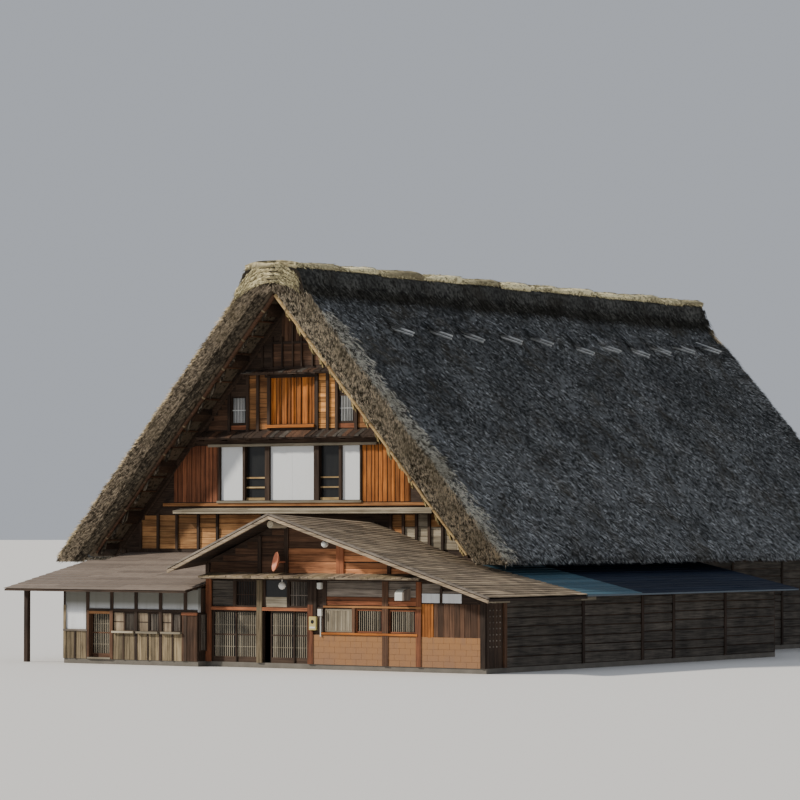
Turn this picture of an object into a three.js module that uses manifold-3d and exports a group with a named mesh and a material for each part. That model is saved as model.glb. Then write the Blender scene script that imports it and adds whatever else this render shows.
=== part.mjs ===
// A steep thatched farmhouse: gabled straw roof over a timber house, a gabled entrance
// lean-to, a plastered wing at its left and a long low aisle down its right side.
// Millimetres, +Z up. X runs to the right along the front gable, Y runs back along the
// ridge, and the origin is on the ground under the middle of the front gable wall.

import * as THREE from "three";
import { mergeVertices } from "three/addons/utils/BufferGeometryUtils.js";
import Module from "manifold-3d";

const wasm = await Module();
wasm.setup();

// Gap left where a sloping face rests on its neighbour.
const SEAT_GAP = 0.3;

// Main body: half of the span over the walls, length between gable faces, wall thickness.
const HALF_SPAN = 6650;
const LENGTH = 21850;
const WALL = 120;
const BASE_TOP = 150;
const WALL_TOP = 3400;

// Steep roof: rise per unit of run, height of the inner apex, thickness measured level.
const ROOF_TAN = 1.121;
const INNER_APEX = 11230;
const THATCH_LEVEL = 1220;
const THATCH_TOP = 11480;
const THATCH_EAVE_IN = 7200;
const THATCH_EAVE_OUT = 8470;
const THATCH_TIP_Z = 3040;
const VERGE_IN = 850;
const VERGE_OUT = 1010;
const ROUNDED_ARRIS = 120;

// Straw cap along the ridge and the bundles tied across it.
const CAP_END = 1150;
const CAP_TOP = 12070;
const CAP_FOOT = 1345;
const CAP_BUNDLES = 12;
const BUNDLE_WIDTH = 170;
const BUNDLE_RISE = 120;

// Pole ends that stick out of both slopes below the cap: where each stands along the ridge
// and its height at the middle of its visible part.
const NEEDLES = [
  { y: 2350, z: 10060 },
  { y: 4430, z: 10050 },
  { y: 6190, z: 10020 },
  { y: 8370, z: 10060 },
  { y: 10190, z: 10060 },
  { y: 12650, z: 9870 },
  { y: 14300, z: 10000 },
  { y: 16260, z: 9920 },
  { y: 17630, z: 10060 },
  { y: 19200, z: 10160 },
  { y: 20940, z: 10240 },
];
const NEEDLE_START_X = 1700;
const NEEDLE_MIDDLE_X = 2600;
const NEEDLE_END_X = 2890;
const NEEDLE_SIZE = 130;
const NEEDLE_DROP = 0.2;

// Roof timbers under the thatch.
const RAFTER_DEPTH = 300;
const RAFTER_WIDTH = 140;
const RAFTER_STEP = 1900;
const RAFTER_FOOT = 7000;
const PURLIN_TOP = 25;
const PURLIN_DEPTH = 180;
const PURLIN_WIDTH = 180;
const PURLIN_PLACES = [300, 1650, 3100, 4500, 5900, 6810];
const BARGE_BACK = 820;
const BARGE_FRONT = 940;
const BARGE_DEPTH = 190;
const BARGE_FOOT = 7100;

// Storeys of the gable: top of its wall and of the floors behind it.
const GABLE_TOP = 10900;
const ATTIC_FLOOR = 4500;
const UPPER_FLOOR = 6840;
const FLOOR_BOARD = 60;
const FLOOR_BEAM = 240;
const FLOOR_BEAM_STEP = 2800;

// Small roofs between the storeys of each gable: height at the wall, depth, fall, half width.
const PENTS = [
  { name: "pent_lower", top: 4690, deep: 450, fall: 90, thick: 80, left: 4300, right: 5450 },
  { name: "pent_middle", top: 7060, deep: 420, fall: 200, thick: 80, left: 3450, right: 3500 },
  { name: "pent_upper", top: 8930, deep: 330, fall: 100, thick: 70, left: 1760, right: 1720 },
];

// Openings in the gable: left, right, bottom, top.
const MIDDLE_WINDOWS = [
  [-2750, -1880, 4910, 6560],
  [-1780, -1030, 4910, 6560],
  [-840, 840, 4910, 6560],
  [1040, 1780, 4910, 6560],
  [1880, 2560, 4910, 6560],
];
const UPPER_WINDOWS = [
  [-2350, -1740, 7250, 8100],
  [1740, 2350, 7250, 8100],
];
const HATCH = [-830, 830, 7230, 8650];
const SCREEN = 25;

// Entrance lean-to: front face, right face, ridge line and eaves of its roof.
const ENTRANCE_FRONT = -4200;
const AISLE_FACE = 9900;
const ENTRANCE_VERGE = -5200;
const ENTRANCE_RIDGE_X = 3000;
const ENTRANCE_LEFT_X = -720;
const AISLE_EAVE_X = 10600;
const AISLE_EAVE_Z = 2170;
const AISLE_HEAD_Z = 3050;
const SHEET_ROOF = 80;
const BOARD_ROOF = 100;
const ENTRANCE_RIDGE_FRONT_Z = 4500;
const ENTRANCE_RIDGE_BACK_Z = 4250;
const ENTRANCE_LEFT_FRONT_Z = 2920;
const ENTRANCE_LEFT_BACK_Z = 3450;
const ENTRANCE_HIP_FRONT_Z = 3381;

// Front of the entrance: doorways, lintel, transoms and windows.
const DOORWAYS = [
  [200, 1880],
  [2080, 3730],
];
const LINTEL = 1660;
const TRANSOM_BOTTOM = 1770;
const TRANSOM_TOP = 2560;
const ENTRANCE_WINDOWS = [
  [4320, 5310],
  [5420, 6370],
  [6580, 7520],
];
const ENTRANCE_SILL = 1080;
const ENTRANCE_HEAD = 1750;
const WINDOW_RAIL = 1840;
const ENTRANCE_PENT = { top: 2780, deep: 700, fall: 100, thick: 70, left: 200, right: 8050 };

// Lattice doors: gap at the floor they run on and at the head, leaf and the two tracks.
const DOOR_SEAT = 0.3;
const DOOR_CLEAR = 5;
const LEAF = 30;
const OUTER_TRACK = -4165;
const INNER_TRACK = -4125;
const LEAF_BARS = 8;
const LEAF_ROWS = 3;
const STILE = 45;
const BAR = 18;

// Windows of the left wall.
const SIDE_WINDOWS = 6;
const SIDE_WINDOW_FIRST = 2200;
const SIDE_WINDOW_STEP = 3400;
const SIDE_WINDOW_WIDTH = 1700;

// Long aisle down the right side.
const AISLE_END = 12200;
const AISLE_ROOF_END = 12500;

// Plastered wing at the left of the entrance.
const WING_FRONT = -4600;
const WING_LEFT = -5150;
const WING_BAY = 935;
const WING_RAIL = 1590;
const WING_SILL = 1000;
const WING_ROOF_HEAD = 3310;
const WING_ROOF_FALL = 0.2038;
const WING_ROOF_THICK = 90;
const WING_VERGE = -7050;
const WING_DOOR = [-4150, -3340];
const WING_POST = 140;

// Dish on an arm from the entrance wall: rim radius and centre.
const DISH_RADIUS = 290;
const DISH_PLACE = { x: 2920, y: -4580, z: 3080 };

const COLOURS = {
  thatch: [0x4a4a44, 1.0],
  straw: [0xa08f68, 1.0],
  timber: [0x6b4326, 0.85],
  darkTimber: [0x33261c, 0.85],
  plaster: [0xd8d8d4, 0.9],
  paper: [0xd9dbd6, 0.8],
  boards: [0x55534f, 0.9],
  sheet: [0x2c4156, 0.45],
  brownSheet: [0x8a7a72, 0.6],
  stone: [0x77736a, 0.95],
  dish: [0xc9694a, 0.5],
  white: [0xd9dcd8, 0.5],
};

const materials = Object.fromEntries(
  Object.entries(COLOURS).map(([name, [color, roughness]]) => [
    name,
    new THREE.MeshStandardMaterial({ color, roughness, metalness: 0 }),
  ]),
);

const house = new THREE.Group();

function solidOf(geometry) {
  const bare = geometry.index ? geometry.toNonIndexed() : geometry.clone();
  bare.deleteAttribute("normal");
  bare.deleteAttribute("uv");
  const merged = mergeVertices(bare, 1e-3);
  return new wasm.Manifold(
    new wasm.Mesh({
      numProp: 3,
      vertProperties: merged.attributes.position.array,
      triVerts: new Uint32Array(merged.index.array),
    }),
  );
}

function geometryOf(solid) {
  const mesh = solid.getMesh();
  const points = new Float32Array(mesh.numVert * 3);
  for (let i = 0; i < mesh.numVert; i += 1) {
    points.set(mesh.vertProperties.subarray(i * mesh.numProp, i * mesh.numProp + 3), i * 3);
  }
  const geometry = new THREE.BufferGeometry();
  geometry.setAttribute("position", new THREE.BufferAttribute(points, 3));
  geometry.setIndex(new THREE.BufferAttribute(mesh.triVerts, 1));
  const flat = geometry.toNonIndexed();
  flat.computeVertexNormals();
  return flat;
}

// Adds one named piece to the house.
function piece(name, solid, material) {
  const mesh = new THREE.Mesh(geometryOf(solid), materials[material]);
  mesh.name = name;
  house.add(mesh);
}

function block(x0, x1, y0, y1, z0, z1) {
  const box = new THREE.BoxGeometry(x1 - x0, y1 - y0, z1 - z0);
  box.translate((x0 + x1) / 2, (y0 + y1) / 2, (z0 + z1) / 2);
  return solidOf(box);
}

function outline(points) {
  return new THREE.Shape(points.map(([a, b]) => new THREE.Vector2(a, b)));
}

function extrude(points, depth, basis) {
  const geometry = new THREE.ExtrudeGeometry(outline(points), { depth, bevelEnabled: false });
  geometry.applyMatrix4(basis);
  return solidOf(geometry);
}

// A prism along X from a section in (y, z).
function prismX(points, x0, x1) {
  const basis = new THREE.Matrix4().set(0, 0, 1, x0, 1, 0, 0, 0, 0, 1, 0, 0, 0, 0, 0, 1);
  return extrude(points, x1 - x0, basis);
}

// A prism along Y from a section in (x, z).
function prismY(points, y0, y1) {
  const basis = new THREE.Matrix4().set(1, 0, 0, 0, 0, 0, -1, y1, 0, 1, 0, 0, 0, 0, 0, 1);
  return extrude(points, y1 - y0, basis);
}

// A prism along Z from a plan in (x, y).
function prismZ(points, z0, z1) {
  const basis = new THREE.Matrix4().makeTranslation(0, 0, z0);
  return extrude(points, z1 - z0, basis);
}

function join(solids) {
  return solids.reduce((all, next) => all.add(next));
}

function cut(solid, tools) {
  return tools.reduce((left, tool) => left.subtract(tool), solid);
}

// A closed body through sections with equal counts of [x, y, z] points, each section
// running anticlockwise in (x, z), from the front one to the back one.
function loft(sections) {
  const count = sections[0].length;
  const points = sections.flat();
  const faces = THREE.ShapeUtils.triangulateShape(
    sections[0].map(([x, , z]) => new THREE.Vector2(x, z)),
    [],
  );
  const last = (sections.length - 1) * count;
  const corners = [];
  faces.forEach(([a, b, c]) => corners.push(a, b, c, last + a, last + c, last + b));
  for (let s = 0; s < sections.length - 1; s += 1) {
    for (let i = 0; i < count; i += 1) {
      const j = (i + 1) % count;
      const near = s * count;
      const far = near + count;
      corners.push(near + i, far + i, far + j, near + i, far + j, near + j);
    }
  }
  const geometry = new THREE.BufferGeometry();
  const values = corners.flatMap((n) => points[n]);
  geometry.setAttribute("position", new THREE.BufferAttribute(new Float32Array(values), 3));
  return solidOf(geometry);
}

const innerRoof = (x) => INNER_APEX - ROOF_TAN * Math.abs(x);
const outerRoof = (x) => innerRoof(x) + THATCH_LEVEL * ROOF_TAN;
const underRafter = (z) => (INNER_APEX - RAFTER_DEPTH - z) / ROOF_TAN - 1;
const mirrored = (points) => points.map(([x, ...rest]) => [-x, ...rest]).reverse();

// Steep roof slopes, with the pole ends that pierce them.
function thatchSection(yInner, yOuter, shrink) {
  const tipX = THATCH_EAVE_OUT - shrink;
  const shoulder = (outerRoof(0) - THATCH_TOP) / ROOF_TAN - shrink;
  return [
    [0, yInner, INNER_APEX],
    [THATCH_EAVE_IN, yInner, innerRoof(THATCH_EAVE_IN)],
    [tipX, yOuter, THATCH_TIP_Z],
    [tipX, yOuter, outerRoof(tipX + shrink)],
    [shoulder, yOuter, THATCH_TOP],
    [0, yOuter, THATCH_TOP],
  ];
}

function thatchSlope() {
  const back = LENGTH;
  return loft([
    thatchSection(-VERGE_IN, -VERGE_OUT, ROUNDED_ARRIS),
    thatchSection(-VERGE_IN + ROUNDED_ARRIS, -VERGE_OUT + ROUNDED_ARRIS, 0),
    thatchSection(back + VERGE_IN - ROUNDED_ARRIS, back + VERGE_OUT - ROUNDED_ARRIS, 0),
    thatchSection(back + VERGE_IN, back + VERGE_OUT, ROUNDED_ARRIS),
  ]);
}

function needles() {
  const half = NEEDLE_SIZE / 2;
  return NEEDLES.map(({ y, z }) => {
    const start = z + NEEDLE_DROP * (NEEDLE_MIDDLE_X - NEEDLE_START_X);
    const end = z - NEEDLE_DROP * (NEEDLE_END_X - NEEDLE_MIDDLE_X);
    const side = [
      [NEEDLE_START_X, start - half],
      [NEEDLE_END_X, end - half],
      [NEEDLE_END_X, end + half],
      [NEEDLE_START_X, start + half],
    ];
    return prismY(side, y - half, y + half);
  });
}

function mirrorX(solid) {
  return solid.mirror([1, 0, 0]);
}

function makeRoof() {
  const right = join([thatchSlope(), ...needles()]);
  piece("thatch_right", right, "thatch");
  piece("thatch_left", mirrorX(right), "thatch");
  piece("ridge_cap", ridgeCap(), "straw");
}

// Straw cap: a rounded section that sits over the flat top and laps down both slopes.
function capSection(y, inset, drop) {
  const foot = outerRoof(CAP_FOOT) + SEAT_GAP;
  const shoulder = (outerRoof(0) - THATCH_TOP) / ROOF_TAN;
  const right = [
    [CAP_FOOT, y, foot],
    [CAP_FOOT - 55 - inset, y, foot + 240],
    [CAP_FOOT - 215 - inset, y, CAP_TOP - 290 - drop],
    [CAP_FOOT - 365 - inset, y, CAP_TOP - 110 - drop],
    [CAP_FOOT - 645 - inset, y, CAP_TOP - 30 - drop],
  ];
  const under = [shoulder, y, THATCH_TOP + SEAT_GAP * 2];
  return [
    under,
    ...right,
    [0, y, CAP_TOP - drop],
    ...mirrored(right),
    ...mirrored([under]),
  ];
}

function ridgeCap() {
  const ends = [
    [-CAP_END, 70, 60],
    [-CAP_END + 150, 0, 0],
    [LENGTH + CAP_END - 150, 0, 0],
    [LENGTH + CAP_END, 70, 60],
  ];
  const cap = loft(ends.map(([y, inset, drop]) => capSection(y, inset, drop)));
  const bundle = [
    [-1180, 11600],
    [1180, 11600],
    [1130, 11900],
    [900, CAP_TOP + 30],
    [0, CAP_TOP + BUNDLE_RISE],
    [-900, CAP_TOP + 30],
    [-1130, 11900],
  ];
  const step = (LENGTH + CAP_END) / CAP_BUNDLES;
  const bundles = Array.from({ length: CAP_BUNDLES }, (_, i) => {
    const y = -CAP_END / 2 + step * (i + 0.5);
    return prismY(bundle, y - BUNDLE_WIDTH / 2, y + BUNDLE_WIDTH / 2);
  });
  return join([cap, ...bundles]);
}

// A strip of the roof plane between two depths below the thatch.
function strip(xTop, xFoot, top, depth) {
  return [
    [xTop, innerRoof(xTop) - depth],
    [xFoot, innerRoof(xFoot) - depth],
    [xFoot, innerRoof(xFoot) - top],
    [xTop, innerRoof(xTop) - top],
  ];
}

function makeRoofTimbers() {
  const rafter = strip(0, RAFTER_FOOT, SEAT_GAP, RAFTER_DEPTH);
  const rafters = [prismY(rafter, LENGTH - RAFTER_WIDTH, LENGTH)];
  for (let y = 0; y < LENGTH; y += RAFTER_STEP) {
    rafters.push(prismY(rafter, y, y + RAFTER_WIDTH));
  }
  const purlins = PURLIN_PLACES.map((x) => {
    const section = strip(x, x + PURLIN_WIDTH, PURLIN_TOP, PURLIN_TOP + PURLIN_DEPTH);
    return prismY(section, -BARGE_BACK, LENGTH + BARGE_BACK);
  });
  const right = join([...rafters, ...purlins]);
  piece("rafters_right", right, "darkTimber");
  piece("rafters_left", mirrorX(right), "darkTimber");

  const pole = strip(0, BARGE_FOOT, SEAT_GAP, BARGE_DEPTH);
  const front = prismY(pole, -BARGE_FRONT, -BARGE_BACK);
  const back = prismY(pole, LENGTH + BARGE_BACK, LENGTH + BARGE_FRONT);
  piece("barge_pole_front_right", front, "straw");
  piece("barge_pole_front_left", mirrorX(front), "straw");
  piece("barge_pole_back_right", back, "straw");
  piece("barge_pole_back_left", mirrorX(back), "straw");
}

function openings(list, y0, y1) {
  return list.map(([left, right, bottom, top]) => block(left, right, y0 - 50, y1 + 50, bottom, top));
}

// One gable: its wall, paper screens, hatch and the small roofs between the storeys.
function makeGable(side, y0, y1, outward) {
  const shoulder = INNER_APEX - RAFTER_DEPTH - ROOF_TAN * HALF_SPAN - 1;
  const top = underRafter(GABLE_TOP);
  const half = [
    [top, GABLE_TOP],
    [HALF_SPAN, shoulder],
    [HALF_SPAN, WALL_TOP],
  ];
  const wall = prismY([...half, ...mirrored(half)].reverse(), y0, y1);
  const holes = openings([...MIDDLE_WINDOWS, ...UPPER_WINDOWS, HATCH], y0, y1);
  piece(`${side}_gable_wall`, cut(wall, holes), "timber");

  const inner = outward < 0 ? [y1, y1 + SCREEN] : [y0 - SCREEN, y0];
  const screen = join([
    block(-2800, 2610, ...inner, 4860, 6610),
    block(-500, 500, ...inner, 6610, 7190),
    block(-2400, 2400, ...inner, 7190, 8150),
    block(-880, 880, ...inner, 8150, 8700),
  ]);
  piece(`${side}_gable_screens`, screen, "paper");

  const face = outward < 0 ? y0 : y1;
  PENTS.forEach(({ name, top, deep, fall, thick, left, right }) => {
    const section = [
      [face, top - thick],
      [face, top],
      [face + outward * deep, top - fall],
      [face + outward * deep, top - fall - thick],
    ];
    const mirroredEnds = outward < 0 ? [-left, right] : [-right, left];
    piece(`${side}_${name}`, prismX(outward < 0 ? section.reverse() : section, ...mirroredEnds), "timber");
  });

  const plug = outward < 0 ? [y0 + 30, y1] : [y0, y1 - 30];
  const hatch = block(HATCH[0] + 2, HATCH[1] - 2, ...plug, HATCH[2] + 2, HATCH[3] - 2);
  piece(`${side}_hatch`, hatch, "timber");
}

function makeFloors() {
  const plate = (top) => [
    [-underRafter(top - FLOOR_BOARD), top - FLOOR_BOARD],
    [underRafter(top - FLOOR_BOARD), top - FLOOR_BOARD],
    [underRafter(top), top],
    [-underRafter(top), top],
  ];
  const inside = [WALL + SCREEN + 5, LENGTH - WALL - SCREEN - 5];
  const under = ATTIC_FLOOR - FLOOR_BOARD;
  const beam = [
    [-underRafter(under - FLOOR_BEAM), under - FLOOR_BEAM],
    [underRafter(under - FLOOR_BEAM), under - FLOOR_BEAM],
    [underRafter(under), under],
    [-underRafter(under), under],
  ];
  const beams = [];
  for (let y = FLOOR_BEAM_STEP; y < LENGTH - 500; y += FLOOR_BEAM_STEP) {
    beams.push(prismY(beam, y - 110, y + 110));
  }
  piece("attic_floor", join([prismY(plate(ATTIC_FLOOR), ...inside), ...beams]), "darkTimber");
  piece("upper_floor", prismY(plate(UPPER_FLOOR), ...inside), "darkTimber");
}

// Ground floor plate under every wall of the house, the entrance, the aisle and the wing.
function makeBase() {
  const plan = [
    [-HALF_SPAN, LENGTH],
    [-HALF_SPAN, 0],
    [WING_LEFT, 0],
    [WING_LEFT, WING_FRONT],
    [0, WING_FRONT],
    [0, ENTRANCE_FRONT],
    [AISLE_FACE, ENTRANCE_FRONT],
    [AISLE_FACE, AISLE_END],
    [HALF_SPAN, AISLE_END],
    [HALF_SPAN, LENGTH],
  ];
  piece("ground_floor", prismZ(plan, 0, BASE_TOP), "stone");
}

// Wall section that reaches up under the rafters, in (x, z) on the right side.
const sideSection = (bottom) => [
  [HALF_SPAN - WALL, bottom],
  [HALF_SPAN, bottom],
  [HALF_SPAN, INNER_APEX - RAFTER_DEPTH - ROOF_TAN * HALF_SPAN - 1],
  [HALF_SPAN - WALL, INNER_APEX - RAFTER_DEPTH - ROOF_TAN * (HALF_SPAN - WALL) - 1],
];

// A row of posts under a beam, along X or along Y.
function postRow(beam, places, post) {
  return join([beam, ...places.map(post)]);
}

function makeMainWalls() {
  const inner = [WALL, LENGTH - WALL];
  const windows = Array.from({ length: SIDE_WINDOWS }, (_, i) => {
    const y = SIDE_WINDOW_FIRST + i * SIDE_WINDOW_STEP;
    return block(-HALF_SPAN - 50, -HALF_SPAN + WALL + 50, y, y + SIDE_WINDOW_WIDTH, WING_SILL, 1900);
  });
  const left = mirrorX(prismY(sideSection(BASE_TOP), ...inner));
  piece("left_wall", cut(left, windows), "plaster");
  const screen = [-HALF_SPAN + WALL, -HALF_SPAN + WALL + SCREEN];
  const last = SIDE_WINDOW_FIRST + (SIDE_WINDOWS - 1) * SIDE_WINDOW_STEP + SIDE_WINDOW_WIDTH;
  const paper = block(...screen, SIDE_WINDOW_FIRST - 100, last + 100, WING_SILL - 50, 1950);
  piece("left_wall_screen", paper, "paper");
  piece("right_wall_back", prismY(sideSection(BASE_TOP), AISLE_END, LENGTH - WALL), "boards");
  piece("back_wall", block(-HALF_SPAN, HALF_SPAN, LENGTH - WALL, LENGTH, BASE_TOP, WALL_TOP), "boards");
  piece("front_corner_wall", block(-HALF_SPAN, WING_LEFT, 0, WALL, BASE_TOP, WALL_TOP), "plaster");

  const frontBeam = block(WING_LEFT, HALF_SPAN, 0, WALL, 3100, WALL_TOP);
  const frontPosts = [WING_LEFT, -2500, 0, 2100, 4300, HALF_SPAN - 200];
  piece(
    "front_post_row",
    postRow(frontBeam, frontPosts, (x) => block(x, x + 200, 0, WALL, BASE_TOP, 3150)),
    "darkTimber",
  );
  const rightBeam = prismY(sideSection(2900), WALL, AISLE_END);
  const rightPosts = [WALL, 2500, 4900, 7300, 9700, AISLE_END - 200];
  piece(
    "right_post_row",
    postRow(rightBeam, rightPosts, (y) =>
      block(HALF_SPAN - WALL, HALF_SPAN, y, y + 200, BASE_TOP, 2950),
    ),
    "darkTimber",
  );
}

// Entrance roof: two slopes whose ridge falls a little towards the gable wall.
const aisleRoof = (x) =>
  AISLE_HEAD_Z + ((AISLE_EAVE_Z - AISLE_HEAD_Z) * (x - HALF_SPAN)) / (AISLE_EAVE_X - HALF_SPAN);

function entranceRightSection(y, ridge, hip, up, down) {
  return [
    [ENTRANCE_RIDGE_X, y, ridge - down],
    [HALF_SPAN, y, hip - down],
    [AISLE_EAVE_X, y, AISLE_EAVE_Z - down],
    [AISLE_EAVE_X, y, AISLE_EAVE_Z + up],
    [HALF_SPAN, y, hip + up],
    [ENTRANCE_RIDGE_X, y, ridge + up],
  ];
}

function entranceLeftSection(y, ridge, eave, up, down) {
  return [
    [ENTRANCE_LEFT_X, y, eave - down],
    [ENTRANCE_RIDGE_X, y, ridge - down],
    [ENTRANCE_RIDGE_X, y, ridge + up],
    [ENTRANCE_LEFT_X, y, eave + up],
  ];
}

function entranceRight(up, down) {
  return loft([
    entranceRightSection(ENTRANCE_VERGE, ENTRANCE_RIDGE_FRONT_Z, ENTRANCE_HIP_FRONT_Z, up, down),
    entranceRightSection(0, ENTRANCE_RIDGE_BACK_Z, AISLE_HEAD_Z, up, down),
  ]);
}

function entranceLeft(up, down) {
  return loft([
    entranceLeftSection(ENTRANCE_VERGE, ENTRANCE_RIDGE_FRONT_Z, ENTRANCE_LEFT_FRONT_Z, up, down),
    entranceLeftSection(0, ENTRANCE_RIDGE_BACK_Z, ENTRANCE_LEFT_BACK_Z, up, down),
  ]);
}

function aisleSlab(up, down) {
  const section = [
    [HALF_SPAN, AISLE_HEAD_Z - down],
    [AISLE_EAVE_X, AISLE_EAVE_Z - down],
    [AISLE_EAVE_X, AISLE_EAVE_Z + up],
    [HALF_SPAN, AISLE_HEAD_Z + up],
  ];
  return prismY(section, 0, AISLE_ROOF_END);
}

// Everything above a roof's underside, for trimming the walls that carry it.
const ABOVE = 4000;

function makeEntrance() {
  piece("entrance_roof_right", entranceRight(0, BOARD_ROOF), "boards");
  piece("entrance_roof_left", entranceLeft(0, BOARD_ROOF), "boards");
  piece("aisle_roof", aisleSlab(0, SHEET_ROOF), "sheet");
  const trim = [
    entranceRight(ABOVE, BOARD_ROOF + SEAT_GAP),
    entranceLeft(ABOVE, BOARD_ROOF + SEAT_GAP),
    aisleSlab(ABOVE, SHEET_ROOF + SEAT_GAP),
  ];

  const [y0, y1] = [ENTRANCE_FRONT, ENTRANCE_FRONT + WALL];
  const tall = 4700;
  const transoms = DOORWAYS.map(([left, right]) => [left, right, TRANSOM_BOTTOM, TRANSOM_TOP]);
  const jamb = DOORWAYS[1][1];
  const boards = join([
    block(0, jamb, y0, y1, LINTEL, tall),
    block(jamb, AISLE_FACE, y0, y1, WINDOW_RAIL, tall),
  ]);
  const upper = cut(boards, [...openings(transoms, y0, y1), ...trim]);
  piece("entrance_upper_wall", upper, "timber");
  piece("entrance_post", block(DOORWAYS[0][1], DOORWAYS[1][0], y0, y1, BASE_TOP, LINTEL), "timber");
  const windows = ENTRANCE_WINDOWS.map(([left, right]) => [left, right, ENTRANCE_SILL, ENTRANCE_HEAD]);
  const lower = block(jamb, AISLE_FACE, y0, y1, BASE_TOP, WINDOW_RAIL);
  piece("entrance_window_wall", cut(lower, openings(windows, y0, y1)), "timber");

  const screenLeft = ENTRANCE_WINDOWS[0][0] - 50;
  const screenRight = ENTRANCE_WINDOWS[2][1] + 50;
  const screen = join([
    block(150, 3780, y1, y1 + SCREEN, LINTEL + 60, TRANSOM_TOP + 50),
    block(3780, screenLeft, y1, y1 + SCREEN, LINTEL + 60, ENTRANCE_HEAD + 50),
    block(screenLeft, screenRight, y1, y1 + SCREEN, ENTRANCE_SILL - 50, ENTRANCE_HEAD + 50),
  ]);
  piece("entrance_screens", screen, "paper");

  const sidePost = block(0, DOORWAYS[0][0], y0, y1, BASE_TOP, LINTEL);
  const sideWall = cut(block(0, WALL, y1 + SCREEN, 0, 2200, tall), trim);
  piece("entrance_corner_post", sidePost, "timber");
  piece("entrance_side_wall", join([sideWall, block(0, WALL, y1, y1 + SCREEN + 5, 2700, 2900)]), "timber");

  const { top, deep, fall, thick, left, right } = ENTRANCE_PENT;
  const pent = [
    [y0 - deep, top - fall - thick],
    [y0, top - thick],
    [y0, top],
    [y0 - deep, top - fall],
  ];
  piece("entrance_pent", prismX(pent, left, right), "boards");

  const aisleWall = block(AISLE_FACE - WALL, AISLE_FACE, y1, AISLE_END, BASE_TOP, tall);
  piece("aisle_wall", cut(aisleWall, trim), "boards");
  const endWall = block(HALF_SPAN, AISLE_FACE - WALL, AISLE_END - WALL, AISLE_END, BASE_TOP, tall);
  piece("aisle_end_wall", cut(endWall, trim), "boards");
}

// A lattice door leaf: stiles, rails and upright bars with openings between them.
function leaf(x0, x1, y0, z0, z1) {
  const gap = (x1 - x0 - 2 * STILE - LEAF_BARS * BAR) / (LEAF_BARS + 1);
  const rowHeight = (z1 - z0 - STILE * (LEAF_ROWS + 1)) / LEAF_ROWS;
  const holes = [];
  for (let row = 0; row < LEAF_ROWS; row += 1) {
    const bottom = z0 + STILE + row * (rowHeight + STILE);
    for (let i = 0; i <= LEAF_BARS; i += 1) {
      const left = x0 + STILE + i * (gap + BAR);
      holes.push([left, left + gap, bottom, bottom + rowHeight]);
    }
  }
  return cut(block(x0, x1, y0, y0 + LEAF, z0, z1), openings(holes, y0, y0 + LEAF));
}

// Leaves at rest: the left one of the right-hand doorway stands a little open.
const LEAVES = [
  { name: "door_leaf_1", left: 205, right: 1085, track: OUTER_TRACK },
  { name: "door_leaf_2", left: 995, right: 1875, track: INNER_TRACK },
  { name: "door_leaf_3", left: 2340, right: 3205, track: OUTER_TRACK },
  { name: "door_leaf_4", left: 2860, right: 3725, track: INNER_TRACK },
];

function makeDoors() {
  LEAVES.forEach(({ name, left, right, track }) => {
    piece(name, leaf(left, right, track, BASE_TOP + DOOR_SEAT, LINTEL - DOOR_CLEAR), "darkTimber");
  });
  const [left, right] = WING_DOOR;
  const inside = WING_FRONT + WALL + 10;
  piece("wing_door", leaf(left - 20, right + 20, inside, BASE_TOP + DOOR_SEAT, WING_RAIL + 20), "timber");
}

// Wing: plastered upper wall on a rail, lower walls beside the doorway, lean-to roof.
function wingPlate(up, down, plan) {
  const slab = prismZ(plan, 0, 100);
  return slab.warp((v) => {
    const top = WING_ROOF_HEAD + WING_ROOF_FALL * v[1];
    v[2] = v[2] > 50 ? top + up : top - down;
  });
}

function makeWing() {
  const roofPlan = [
    [WING_VERGE, ENTRANCE_VERGE],
    [-10, ENTRANCE_VERGE],
    [-10, 0],
    [-6400, 0],
    [-6400, -1150],
    [WING_VERGE, -1150],
  ];
  piece("wing_roof", wingPlate(0, WING_ROOF_THICK, roofPlan), "brownSheet");
  const trim = [wingPlate(ABOVE, WING_ROOF_THICK + SEAT_GAP, [
    [WING_VERGE, ENTRANCE_VERGE],
    [100, ENTRANCE_VERGE],
    [100, 0],
    [WING_VERGE, 0],
  ])];
  const [y0, y1] = [WING_FRONT, WING_FRONT + WALL];
  const tall = 3500;
  piece("wing_upper_wall", cut(block(WING_LEFT, 0, y0, y1, WING_RAIL, tall), trim), "plaster");
  piece("wing_wall_left", block(WING_LEFT, WING_DOOR[0], y0, y1, BASE_TOP, WING_RAIL), "plaster");
  const windows = [1, 2, 3].map((bay) => {
    const left = WING_LEFT + WING_BAY * (bay + 1) + 60;
    return [left, left + WING_BAY - 120, WING_SILL, WING_RAIL - 40];
  });
  windows.push([WING_LEFT + WING_BAY * 5 + 60, -180, WING_SILL, WING_RAIL - 40]);
  const right = join([
    block(WING_DOOR[1], 0, y0, y1, BASE_TOP, WING_RAIL),
    block(-WALL, 0, y1, ENTRANCE_FRONT + WALL, BASE_TOP, WING_RAIL),
  ]);
  piece("wing_wall_right", cut(right, openings(windows, y0, y1)), "timber");
  piece("wing_screen", block(-3270, -150, y1, y1 + SCREEN, WING_SILL - 50, WING_RAIL - 5), "paper");
  piece("wing_side_wall", cut(block(WING_LEFT, WING_LEFT + WALL, y1, 0, BASE_TOP, tall), trim), "plaster");
  const x = WING_VERGE + 300;
  const post = block(x, x + WING_POST, y0, y0 + WING_POST, 0, tall);
  piece("wing_roof_post", cut(post, trim), "darkTimber");
}

// Small fittings on the entrance front.
function tube(radius, length) {
  const geometry = new THREE.CylinderGeometry(radius, radius, length, 12);
  geometry.rotateX(Math.PI / 2);
  geometry.translate(0, 0, length / 2);
  return geometry;
}

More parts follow.
